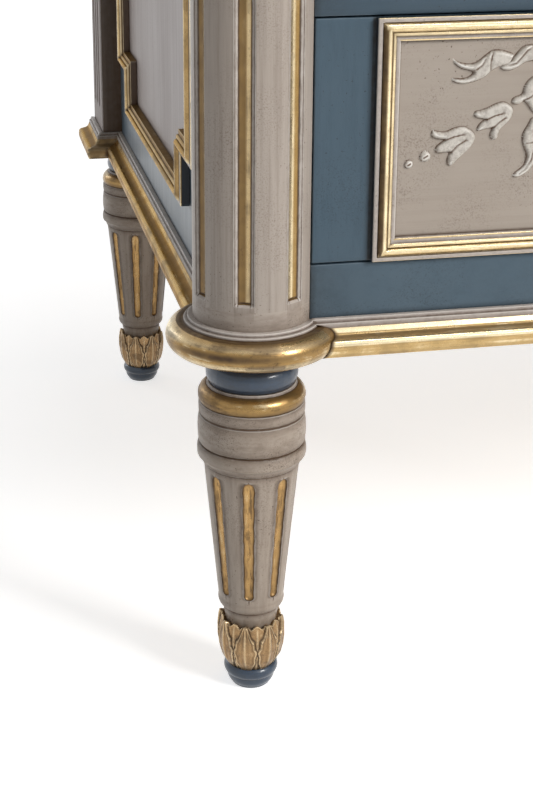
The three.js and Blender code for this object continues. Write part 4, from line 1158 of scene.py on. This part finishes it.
# %% [markdown]
# ## Rails, sides and drawer fronts
# The rails between the drawers are blue. Drawer fronts are blue outside the bead and taupe
# inside, and the sides are the same.

# %% Rails
for node in ("bottom_rail", "lower_divider_rail", "upper_divider_rail", "top_rail"):
    low, high = millimetres(node)
    at_foot = node == "bottom_rail"

    # On the bottom rail darker just above the base moulding; on every rail's front face darker towards each
    # column.
    def rail_darkening(p, at_foot=at_foot):
        near = 0.5 - abs(p[2] - SKIRT_TOP) / 3 if at_foot else 0.0
        beside = RAIL_HALF - 0.1 - abs(p[0])
        return max(0.0, near, max(0.8 - beside / 4, 0.35 - beside / 100) if p[1] < FRONT + 1 else 0.0)

    across = [side * (RAIL_HALF - step) for side in (-1, 1) for step in (4.2, 24.7, 44.7)]
    lines = (across, (), (SKIRT_TOP, SKIRT_CLEAR) if at_foot else ())
    shape = board((-RAIL_HALF, low[1], low[2]), (RAIL_HALF, high[1], high[2]),
                  "blue_level" if at_foot else "blue_divider", lines, stain=rail_darkening)
    for x0, x1 in ((low[0], 1.7 - RAIL_HALF), (RAIL_HALF - 1.7, high[0])):
        tenon = (x0, low[1] + 6, low[2] + 5.5), (x1, low[1] + 14, high[2] - 5.5)
        shape.added(board(*tenon, "cross_timber"))
    make_piece(f"{node}_dressed", shape, "carcass", [node])
report("rail")

# %% Drawer fronts
for name in drawers:
    low, high = millimetres(f"{name}_drawer_front")
    right = -AXIS_X - moulding_reach
    steps = (7.0, BEAD, BEAD + 1.6)
    xs = [side * (right + step) for side in (-1, 1) for step in (0, 1.5, 2.7, *(-step for step in steps))]
    zs = [low[2] + step for step in steps] + [high[2] - step for step in steps]

    def front_paint(p, direction, low=low, high=high, right=right):
        if direction != -2:
            return "cross_timber" if direction == 2 else "blue"
        taupe = abs(p[0]) < right - 7 and low[2] + 7 < p[2] < high[2] - 7
        return "taupe_field" if taupe else "blue"

    # A painted shadow on the blue along the outside of the bead, and a dark joint on the field along its
    # inside.
    def front_shadow_and_joint(p, low=low, high=high, right=right):
        if p[1] > FRONT + 1:
            return 0.0
        inner = min(right - BEAD - abs(p[0]), p[2] - low[2] - BEAD, high[2] - BEAD - p[2])
        beside = 1.0 if right - 1 < abs(p[0]) < right + 1.6 else 0.0
        return max(beside, 1 - inner / 1.6 if inner > -0.1 else 0.0)

    shape = board((low[0], FRONT, low[2]), (high[0], high[1], high[2]), front_paint, (xs, (), zs),
                  stain=front_shadow_and_joint)
    make_piece(f"{name}_drawer_front_dressed", shape, f"{name}_drawer", [f"{name}_drawer_front"])
report("drawer_front")

# %% Side boards
low, high = millimetres("side_board_left")
BOARD_NEAR, BOARD_FAR = -215.7, 234.7  # from the column's flat to the post
offsets = (-BEAD - 2.5, -BEAD, -7, -3, 0, 3, 7, BEAD, BEAD + 2.5)
ys = sorted({y + offset + AXIS_Y for y, _ in side_path for offset in offsets})
zs = sorted({z + offset for _, z in side_path for offset in offsets} | {SKIRT_TOP, SKIRT_CLEAR})
middle_line = inner_line(side_path, 7.0)
frame_edges = (side_path, inner_line(side_path, BEAD))


def flat(p):
    return np.array([[p[1] - AXIS_Y, p[2]]])


def side_paint(p, direction):
    if direction != -1:
        return "cross_timber" if direction == 1 else "blue_side"
    return "taupe_side" if within(flat(p), middle_line)[0] else "blue_side"


# Painted shade on the blue along the outside of the frame and beside the column and the post; a dark joint on
# the field along the frame's inside and just above the base moulding.
def side_shade_and_joints(p):
    if p[0] > SIDE + 1:
        return 0.0
    near = 1 - min(distance_to_line(flat(p), line, True)[0] for line in frame_edges) / 2.45
    edge = 1 - min(p[1] - BOARD_NEAR + 0.2, BOARD_FAR - p[1] - 0.1) / 5
    return max(0.0, near, edge, 1 - abs(p[2] - SKIRT_TOP) / 3.5)


shape = board((low[0], BOARD_NEAR, low[2]), (high[0], BOARD_FAR, high[2]), side_paint,
              ((), ys + [BOARD_NEAR + 5.2, BOARD_FAR - 5.2], zs), stain=side_shade_and_joints)
for y0, y1 in ((low[1], BOARD_NEAR + 1.2), (BOARD_FAR - 1.2, high[1])):
    shape.added(board((SIDE + 6, y0, low[2]), (SIDE + 12, y1, high[2]), "side_timber"))
make_pair("side_board", shape, "carcass")
report("side_board")

# %% [markdown]
# ## The top
# The top has a round ear over each column and a square one over each post, and its edge is
# rounded. Below it sits a board with the skirt moulding turned over. Neither shows in the
# photograph, so both follow what such chests have.


# %% Top board
def ear_outline(radius, proud, out_x, shoulder, back, steps=28):
    reach = math.sqrt(radius ** 2 - proud ** 2)
    start, end = math.atan2(-proud, reach), math.atan2(reach, -proud) - 2 * math.pi
    left = [(radius * math.cos(a), radius * math.sin(a)) for a in np.linspace(start, end, steps + 1)]
    left += [(-proud, shoulder), (-out_x, shoulder), (-out_x, back)]
    left = [(AXIS_X + x, AXIS_Y + y) for x, y in left]
    return left + [(-x, y) for x, y in reversed(left)]


def inset(loop, distance):
    """The same outline moved inwards, with mitred corners."""
    loop = np.array(loop)
    before, after = loop - np.roll(loop, 1, axis=0), np.roll(loop, -1, axis=0) - loop
    before /= np.linalg.norm(before, axis=1, keepdims=True)
    after /= np.linalg.norm(after, axis=1, keepdims=True)
    n0 = np.stack([-before[:, 1], before[:, 0]], axis=1)
    n1 = np.stack([-after[:, 1], after[:, 0]], axis=1)
    mitre = (n0 + n1) / (1 + np.sum(n0 * n1, axis=1, keepdims=True))
    area = np.sum(loop[:, 0] * np.roll(loop[:, 1], -1) - loop[:, 1] * np.roll(loop[:, 0], -1))
    return loop + mitre * distance * (1 if area > 0 else -1)


top_low, top_high = millimetres("top_board")
OVERHANG, EDGE_ROUND = 14.4 + 2.5, 5
top_outline = ear_outline(54.86, 18 + OVERHANG - 0.14, COLUMN_RADIUS + OVERHANG - 0.04,
                          POST_NEAR - OVERHANG, POST_FAR)
edge = [(EDGE_ROUND * (1 - math.sin(a)), EDGE_ROUND * (1 - math.cos(a)))
        for a in np.radians([0, 22, 45, 68, 90])]
levels = [(9.0, top_low[2])] + [(depth, top_low[2] + up) for depth, up in edge]
levels += [(depth, top_high[2] - up) for depth, up in reversed(edge)] + [(9.0, top_high[2])]
rows = [[(x, y, z) for x, y in inset(top_outline, depth)] for depth, z in levels]
top_shape = Shape().skin(rows, "taupe_field", around=True, capped=True)
make_piece("top_board_dressed", top_shape, "carcass", ["top_board"])

# %% Under-top board
under = Shape()
for half in (ring_skin(UNDER_TOP), skirt_side(UNDER_TOP)):
    under.added(half).added(half.mirrored())
under.added(skirt_front(UNDER_TOP))
core_x, post_x, post_y = AXIS_X - 18.8, AXIS_X - COLUMN_RADIUS - 0.8, AXIS_Y + POST_NEAR - 1
inner_loop = [(core_x, AXIS_Y - 18.8), (core_x, post_y), (post_x, post_y), (post_x, AXIS_Y + POST_FAR)]
inner_loop = inner_loop + [(-x, y) for x, y in reversed(inner_loop)]
rows = [[(x, y, z) for x, y in inner_loop] for z in (COLUMN_TOP + 0.5, UNDER_TOP - 0.2)]
under.skin(rows, "taupe", around=True, capped=True)
make_piece("under_top_dressed", under, "carcass", ["under_top"])
report("top")

# %% [markdown]
# ## Ring pulls
# Each drawer has two ring pulls of aged brass: a round plate with petals and a beaded rim, an
# eye, and a ring that hangs in it. They are outside the photograph, and are of the plainest kind
# that such a chest carries. The ring swings in its eye, so it is a piece of its own.


# %% Pulls
def plate_height(radius, angle):
    petal = 0.5 + 0.5 * math.cos(12 * angle)
    dome = np.interp(radius, [0, 5, 8, 15.5, 17.0, 18.2, 19.6, 20.9],
                     [5.2, 5.2, 3.3, 2.5, 1.7, 2.3, 2.2, 0.9])
    if 8 < radius < 15.5:
        dome += 0.9 * petal * math.sin((radius - 8) / 7.5 * math.pi)
    if 17.2 < radius < 20.4:
        dome += 0.55 * (0.5 + 0.5 * math.cos(48 * angle)) * math.sin((radius - 17.2) / 3.2 * math.pi)
    return float(dome)


def rosette_shape(x, z):
    shape = Shape()
    face = FRONT - 0.3
    plate = (20.9, 20.2, 19.4, 18.6, 17.8, 17.1, 16.4, 15.5, 14, 12.5, 11, 9.5, 8, 6.4, 5.0, 4.4)
    turned = [(1.0, 0), (20.9, 0), (21.0, 0.5)] + [(r, None) for r in plate]
    turned += [(4.0, 5.4), (3.6, 6.2), (3.6, 7.2), (2.5, 8.2)]
    rows = [[(x + r * math.cos(a), face - (plate_height(r, a) if d is None else d), z + r * math.sin(a))
             for a in full_turn(144)] for r, d in turned]
    shape.skin(rows, "brass", around=True, capped=True)
    eye = []
    for a in full_turn(40):
        section = [(2.9 * math.cos(b), 5.05 + 1.35 * math.sin(b)) for b in full_turn(14)]
        eye.append([(x + w, face - 11.5 - r * math.cos(a), z + r * math.sin(a)) for w, r in section])
    shape.skin(eye + eye[:1], "brass", around=True)
    return shape


RING_RADIUS, PULL_HEIGHT = 21, 70.25


def ring_shape(x, z):
    rows = []
    for a in full_turn(72):
        low_part = (1 - math.sin(a)) / 2
        wire = 2.15 + 0.55 * low_part ** 3
        for_collar = min(abs((math.degrees(a) - c + 180) % 360 - 180) for c in (225, 315))
        wire += 0.55 * max(0.0, 1 - for_collar / 5.0)
        rows.append([(x + (RING_RADIUS + wire * math.cos(b)) * math.cos(a),
                      FRONT - 11.8 - wire * math.sin(b),
                      z - RING_RADIUS + (RING_RADIUS + wire * math.cos(b)) * math.sin(a))
                     for b in full_turn(14)])
    return Shape().skin(rows + rows[:1], "brass", around=True)


for name in drawers:
    pivot = drawer_floor[name] + PULL_HEIGHT
    plate, hoop = rosette_shape(PULL_X, pivot), ring_shape(PULL_X, pivot)
    pulls = {"left": (plate, hoop), "right": (plate.mirrored(), hoop.mirrored())}
    for side, (plate, hoop) in pulls.items():
        make_piece(f"{name}_rosette_{side}", plate, f"{name}_drawer",
                   [f"{name}_pull_rosette_{side}"], 40)
        make_piece(f"{name}_ring_{side}_dressed", hoop, f"{name}_ring_{side}",
                   [f"{name}_pull_ring_{side}"], 60)
report("rosette", "ring_left")

# %% [markdown]
# ## The ribbon and the bellflowers
# On each drawer a garland in low relief hangs round each pull: a ribbon, a flower with a leaf, a
# string of bellflower husks and small beads. It is an old, common ornament. On the real chest it
# is carved or cast, then painted off-white with brown glaze round its outline. Here every form
# is drawn as a closed outline. The distance to that outline gives the height at each point of a
# fine grid, so edges are round, and creases are pressed in afterwards.

# %% Ornament outlines
def softened(points, times=1):
    """Cuts the corners of a closed outline so that it flows."""
    loop = np.array(points, float)
    for _ in range(times):
        after = np.roll(loop, -1, axis=0)
        loop = np.stack([0.75 * loop + 0.25 * after, 0.25 * loop + 0.75 * after], axis=1).reshape(-1, 2)
    return loop


forms = {
    "low_husk": [
        (99.4, 352.5), (100, 354.5), (102.7, 353.4), (106.6, 352.9), (109.9, 353.7), (111.8, 354.8),
        (115.1, 355.6), (119.1, 355.8), (121.1, 354.5), (124.2, 352.6), (125.6, 349.7), (125.1, 347.1),
        (122.9, 343.6), (119.8, 340.5), (116.6, 337.7), (114.1, 335.3), (111.8, 333.2), (110.1, 333.6),
        (109.3, 335.8), (109.6, 338.7), (111, 341.3), (107.1, 341.1), (103.5, 340.8), (102, 342.3),
        (102.4, 344.6), (104.7, 346.4), (107.8, 348.6), (104.8, 348.9), (101.6, 349.6), (99.7, 351.1)],
    "high_husk": [
        (124.2, 362.6), (124.9, 364.2), (128.5, 364.7), (132.4, 366), (135.6, 367.6), (138.9, 368.8),
        (142.2, 369.1), (144.9, 367.5), (147.2, 365.5), (147.5, 363.3), (146.7, 360.4), (145.1, 357.9),
        (143, 355.7), (140.1, 353.6), (139.2, 351), (138.7, 348.1), (136.7, 347.2), (134.8, 348.3),
        (134.2, 350.6), (135.7, 354.3), (133, 354.2), (129.7, 353.4), (127.3, 352.7), (126.2, 353.6),
        (127, 355.8), (129.2, 358.2), (131.5, 359.2), (128.7, 360), (125.7, 360.5)],
    "ribbon_tail": [
        (110, 395.5), (111.5, 393.6), (114.4, 392.4), (118, 391.6), (121.9, 391.6), (124.5, 392.3),
        (126.4, 393.7), (129, 395.8), (131.5, 397.6), (133.3, 398.8), (136, 399.1), (139.3, 398.6),
        (142.6, 397.6), (146.3, 396.2), (145, 393.2), (143.3, 390.5), (137.8, 389.6), (134.6, 388),
        (132.4, 386.8), (130.8, 384.7), (128.2, 383.2), (125, 382), (121.1, 380.9), (117.2, 380.4),
        (114, 380.8), (111.3, 381.9), (109.9, 383.4), (112.2, 383.5), (115.8, 383.2), (119.1, 383.7),
        (121.6, 385), (122.7, 386.4), (122.1, 387.5), (119.5, 388.2), (115.5, 389.3), (112.2, 391.4)],
    "ribbon_fold": [
        (138, 389.5), (139.9, 387.5), (143.2, 386.9), (146.4, 387.6), (149.7, 389.2), (152.2, 391.2),
        (156, 392.3), (161, 391.9), (166, 389.6), (170.5, 386.9), (175.5, 386.2), (178.5, 388.4),
        (176, 392.4), (170.5, 396.9), (164, 400.2), (157.8, 401.4), (152.3, 401), (149.2, 398.2),
        (146.7, 395.2), (144.2, 391.8)],
    "flower": [
        (146.3, 369.1), (147.1, 371), (149.4, 371.9), (151.3, 372.4), (152.6, 373.4), (153.1, 375),
        (153.4, 377.5), (154.9, 380), (157.8, 382.8), (162, 384.2), (166.5, 383.6), (170.5, 385.2),
        (175.5, 384.4), (178.8, 380.8), (179.2, 376.6), (182.2, 373.4), (182.6, 368.4), (179.4, 364.6),
        (175.2, 363.6), (172.4, 360), (167.4, 358.8), (163.4, 360.6), (159, 362.8), (157.8, 364.5),
        (155.6, 367.7), (153.5, 369.5), (151.9, 367.9), (149.6, 367.3), (147.3, 367.8)],
    "hanging_leaf": [
        (158.8, 359.2), (157.6, 356), (155.2, 352.3), (153.9, 349), (154.2, 345.8), (155.1, 342.5),
        (157.4, 337.8), (156.4, 331.9), (153.8, 329.4), (151.2, 327.6), (149, 325.6), (150.8, 324.4),
        (153.4, 324.8), (156.7, 326.6), (159.3, 328.5), (161.5, 331.4), (163.4, 335.4), (166.4, 339.6),
        (168.2, 344.8), (167.6, 350.2), (165.4, 354.6), (162.4, 358.6)],
    "ribbon_crest": [
        (172.5, 390), (176.4, 388.8), (181.5, 390.2), (186.5, 393.6), (192, 395.2), (197.5, 393.9),
        (202.5, 390.4), (207.5, 387.4), (212, 387.3), (214.6, 389.8), (212, 394.2), (206.4, 399),
        (199.5, 402.2), (192.5, 402.6), (186, 399.8), (180.6, 396.4), (175.6, 394.8)],
    "bow_loop": [
        (209, 390.5), (213.5, 388.4), (219, 389.2), (226, 391.6), (233, 392.4), (240, 390.6), (246, 389.2),
        (247, 392.8), (245.4, 396.8), (238, 399.4), (229, 400.8), (220, 399.6), (213, 396.2)],
    "short_tail": [
        (243, 391.6), (239.4, 387), (236.8, 382), (233.6, 378.2), (229.4, 376.6), (226, 378.4), (224.6, 376),
        (227.6, 373), (232.6, 372.8), (237.8, 375.4), (241.6, 380), (244.4, 385), (247.6, 389.4)],
    "far_husk": [
        (186, 371.6), (188.6, 374.4), (192.6, 375.4), (197, 374.8), (201.6, 375.8), (206.4, 377.6),
        (208, 375.6), (205.4, 372.4), (202, 370.6), (206.2, 370.2), (210.6, 370.6), (211.6, 368.2),
        (208.4, 366), (204, 365.4), (200.6, 364.6), (203.4, 362.4), (205.6, 359.6), (203.8, 357.8),
        (200, 359.4), (195.6, 362.2), (190.6, 364.2), (186.8, 366.8), (185.2, 369.2)],
    "low_leaf": [
        (178.2, 359.4), (181.4, 358.2), (185.6, 354.4), (188.6, 349), (189.8, 343), (189.2, 337.4),
        (191.4, 332.6), (195, 329.4), (193.4, 327.6), (189, 328.6), (184.8, 332.2), (182, 337.4),
        (179.4, 341.8), (176.6, 347), (175.8, 352.6), (176.4, 357)],
    "knot": [(250 - 5.4 * math.cos(a), 393.2 + 5.2 * math.sin(a))
             for a in np.linspace(-1.75, 1.75, 15)],
}
beads = [((86.6, 335.2), 2.4), ((96.2, 339.3), 3.1), ((216.4, 361.6), 2.8)]
creases = {
    "low_husk": [[(107, 348.4), (112, 350.2), (118, 351.4)], [(110.8, 341), (114.6, 345), (119.6, 348)]],
    "high_husk": [[(131, 359.2), (136, 361.4), (141, 362.6)], [(135.6, 354.4), (138.8, 357.4), (142.6, 360)]],
    "ribbon_tail": [[(132.5, 387.9), (132.2, 391.6), (132.8, 395.3), (134, 398.5)],
                    [(124.4, 388.6), (127.4, 390.8), (129.2, 394)]],
    "ribbon_fold": [[(143.6, 390.2), (147.4, 391.2), (150.6, 394.6), (153.6, 398.2), (157, 400.2)],
                    [(160, 396.6), (166, 394.8), (171, 391)]],
    "flower": [[(153.4, 369.8), (157.4, 371.6), (160.6, 374.6), (161.4, 379.4)],
               [(159.4, 364.6), (163.8, 367.2), (167.2, 366)],
               [(164.4, 378.6), (168, 375.4), (172.8, 374.8), (177.6, 377)],
               [(167.4, 370.6), (164, 369.4), (162.8, 372.6), (165.2, 375), (168.8, 373.8),
                (169.6, 370)],
               [(171.6, 369.4), (175.2, 367.6), (179.2, 367.6)]],
    "hanging_leaf": [[(160.8, 356.4), (160.4, 349), (160.8, 341), (159.6, 334.6), (156.4, 329.2),
                      (152.6, 326.4)],
                     [(160.4, 349.4), (164.4, 346.4)], [(160.4, 345), (156.4, 344.6)]],
    "ribbon_crest": [[(178, 392.4), (184.4, 395.4), (190.6, 398.6), (197, 397.8)],
                     [(200, 396.4), (206, 391.8)]],
    "bow_loop": [[(216, 394.6), (224, 396.4), (233, 396.2), (242, 393.6)]],
    "short_tail": [[(243, 388), (238, 380.6), (232, 375.6)]],
    "far_husk": [[(202, 370.8), (197, 370.4), (191.4, 369.8)], [(200.4, 364.8), (196, 367), (191, 368)]],
    "low_leaf": [[(179.4, 356.6), (183, 350), (184.8, 343), (186, 336.6), (189.4, 331.2)]],
    "knot": [[(247, 397), (248.2, 393.2), (247, 389.6)]],
}
print("forms in half a garland:", len(forms), "and beads:", len(beads))


# %% From outline to relief
def relief(shape, loop, folds=(), high=2.3, wide=2.4, step=0.6):
    """A carved form on the drawer's field: round at its rim, pressed in along its folds."""
    loop = softened(loop, 1)
    low, top = loop.min(axis=0) - 1.4, loop.max(axis=0) + 1.4
    xs, zs = np.arange(low[0], top[0] + step, step), np.arange(low[1], top[1] + step, step)
    grid = np.stack(np.meshgrid(xs, zs, indexing="ij"), axis=-1).reshape(-1, 2)
    depth = distance_to_line(grid, loop, True) * np.where(within(grid, loop), 1, -1)
    lift = np.where(depth > 0, high * np.sqrt(1 - (1 - np.clip(depth / wide, 0, 1)) ** 2), 0)
    rim = np.where(depth > 0, 0.85 - np.clip(depth / 0.45, 0, 0.85), 0.85)
    for fold in folds:
        near = distance_to_line(grid, fold, False)
        lift -= 0.42 * np.exp(-(near / 0.75) ** 2) * np.clip(lift, 0, 1)
        rim = np.maximum(rim, 0.34 * np.exp(-(near / 0.4) ** 2))
    height = np.where(depth > 0, 0.12 + lift, 0.12 - 0.5 * np.clip((-depth - 0.15) / 0.6, 0, 1))
    count = (len(xs), len(zs))
    height, rim, keep = height.reshape(count), rim.reshape(count), (depth > -1.25).reshape(count)
    index = {}
    for i, j in zip(*np.nonzero(keep)):
        index[i, j] = len(shape.points)
        shape.points.append((AXIS_X + xs[i], FRONT - height[i, j], zs[j]))
        shape.stains.append(float(rim[i, j]))
    for i, j in index:
        square = [(i, j), (i + 1, j), (i + 1, j + 1), (i, j + 1)]
        if all(corner in index for corner in square):
            shape.faces.append(tuple(index[corner] for corner in square))
            shape.paints.append("relief")


half = Shape()
for form_name, loop in forms.items():
    relief(half, loop, creases.get(form_name, ()))
for (x, z), radius in beads:
    ball = [(x + radius * math.cos(a), z + radius * math.sin(a)) for a in full_turn(20)]
    dent = [(x - 0.3 * radius, z - 0.2 * radius), (x + 0.3 * radius, z + 0.15 * radius)]
    relief(half, ball, [dent], 2.0, radius * 0.9, 0.3)
print("half a garland:", len(half.faces), "faces")

# %% Garlands on the drawers
for name in drawers:
    shift = drawer_floor[name] - drawer_floor["lower"]
    outer_half = half.placed(lambda x, y, z: (x, y, z + shift))
    inner_half = outer_half.placed(lambda x, y, z: (2 * PULL_X - x, y, z))
    garland = Shape().added(outer_half).added(inner_half)
    whole = Shape().added(garland).added(garland.mirrored())
    make_piece(f"{name}_drawer_garland", whole, f"{name}_drawer", [], 60)
report("garland")

# %% [markdown]
# ## Inner parts
# Drawer boxes, runners, back rails and panels keep their CAD shape. They only need bare timber
# or panel wood.

# %% Inner finishes
def dress(node, finish):
    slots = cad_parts[node].data.materials
    if not slots:
        slots.append(None)
    for k in range(len(slots)):
        slots[k] = finishes[finish]


inner = {"drawer_side": "side_timber", "drawer_back": "cross_timber", "drawer_bottom": "panel_wood",
         "drawer_runners": "side_timber", "back_rail": "cross_timber", "back_panel": "panel_wood",
         "bottom_board": "panel_wood"}
dressed = {node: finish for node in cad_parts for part, finish in inner.items() if part in node}
for node, finish in dressed.items():
    dress(node, finish)
print("inner parts dressed:", len(dressed))

# %% [markdown]
# ## Floor and light
# The photograph was taken in a white studio. A large soft lamp stands in front, to the right and
# above. A weak one stands behind on the left, and one hangs over the chest. The floor is matt and
# nearly white. For the camera it also glows, so that it reads as white and keeps a soft shadow.

# %% Floor
floor_mesh = bpy.data.meshes.new("studio_floor")
steps = [-30.0, -4.0, 0.0, 4.0, 30.0]
side = len(steps)
floor_mesh.from_pydata([(x, y, 0.0) for x in steps for y in steps], [],
                       [(k, k + side, k + side + 1, k + 1)
                        for i in range(side - 1) for k in range(i * side, i * side + side - 1)])
floor_finish = bpy.data.materials.new("studio_floor")
floor_finish.use_nodes = True
w = Wiring(floor_finish.node_tree)
shader = floor_finish.node_tree.nodes["Principled BSDF"]
place = w.add("TexCoord").outputs["Object"]
patches = w.step(w.noise(place, 1.5), 0.3, 0.7)
w.plug(shader.inputs["Base Color"], w.blend(patches, (0.80, 0.80, 0.80, 1), (0.82, 0.82, 0.82, 1)))
shader.inputs["Roughness"].default_value = 0.9
seen = w.direct_view()
far = w.add("VectorMath", {0: place}, operation="LENGTH").outputs["Value"]
glow = w.blend(w.step(far, 0.8, 3.5), (0.68, 0.68, 0.68, 1), (1, 1, 1, 1))
w.plug(shader.inputs["Emission Color"], glow)
w.plug(shader.inputs["Emission Strength"], seen)
floor_mesh.materials.append(floor_finish)
floor = bpy.data.objects.new("studio_floor", floor_mesh)
bpy.context.scene.collection.objects.link(floor)
print("floor:", round(floor.dimensions.x, 1), "m wide")


# %% Lamps and world
def lamp(name, place, towards, size, power, tint=(1.0, 1.0, 1.0)):
    light = bpy.data.lights.new(name, "AREA")
    light.shape = "RECTANGLE"
    light.size, light.size_y = size
    light.energy = power
    light.color = tint
    holder = bpy.data.objects.new(name, light)
    holder.location = place
    way = np.array(towards) - np.array(place)
    flat_way = math.hypot(way[0], way[1])
    holder.rotation_euler = (math.atan2(flat_way, -way[2]), 0, math.atan2(way[1], way[0]) - math.pi / 2)
    bpy.context.scene.collection.objects.link(holder)


lamp("key_lamp", (1.5, -2.4, 1.9), (-0.3, 0.0, 0.4), (0.9, 0.9), 78, (1.0, 0.99, 0.975))
lamp("side_lamp", (-2.5, 2.4, 1.2), (-0.5, 0.1, 0.4), (0.6, 1.2), 9, (0.88, 0.92, 1.0))
lamp("top_lamp", (0.0, -0.3, 2.8), (0.0, 0.0, 0.5), (1.1, 1.1), 24)
FILL_LIGHT = 0.2
world = bpy.data.worlds.new("studio_white")
bpy.context.scene.world = world
world.use_nodes = True
w = Wiring(world.node_tree)
background = world.node_tree.nodes["Background"]
seen = w.direct_view()
background.inputs["Color"].default_value = (1, 1, 1, 1)
w.plug(background.inputs["Strength"], w.step(seen, 0.0, 1.0, FILL_LIGHT, 1.0))
bpy.context.scene.view_settings.view_transform = "Standard"
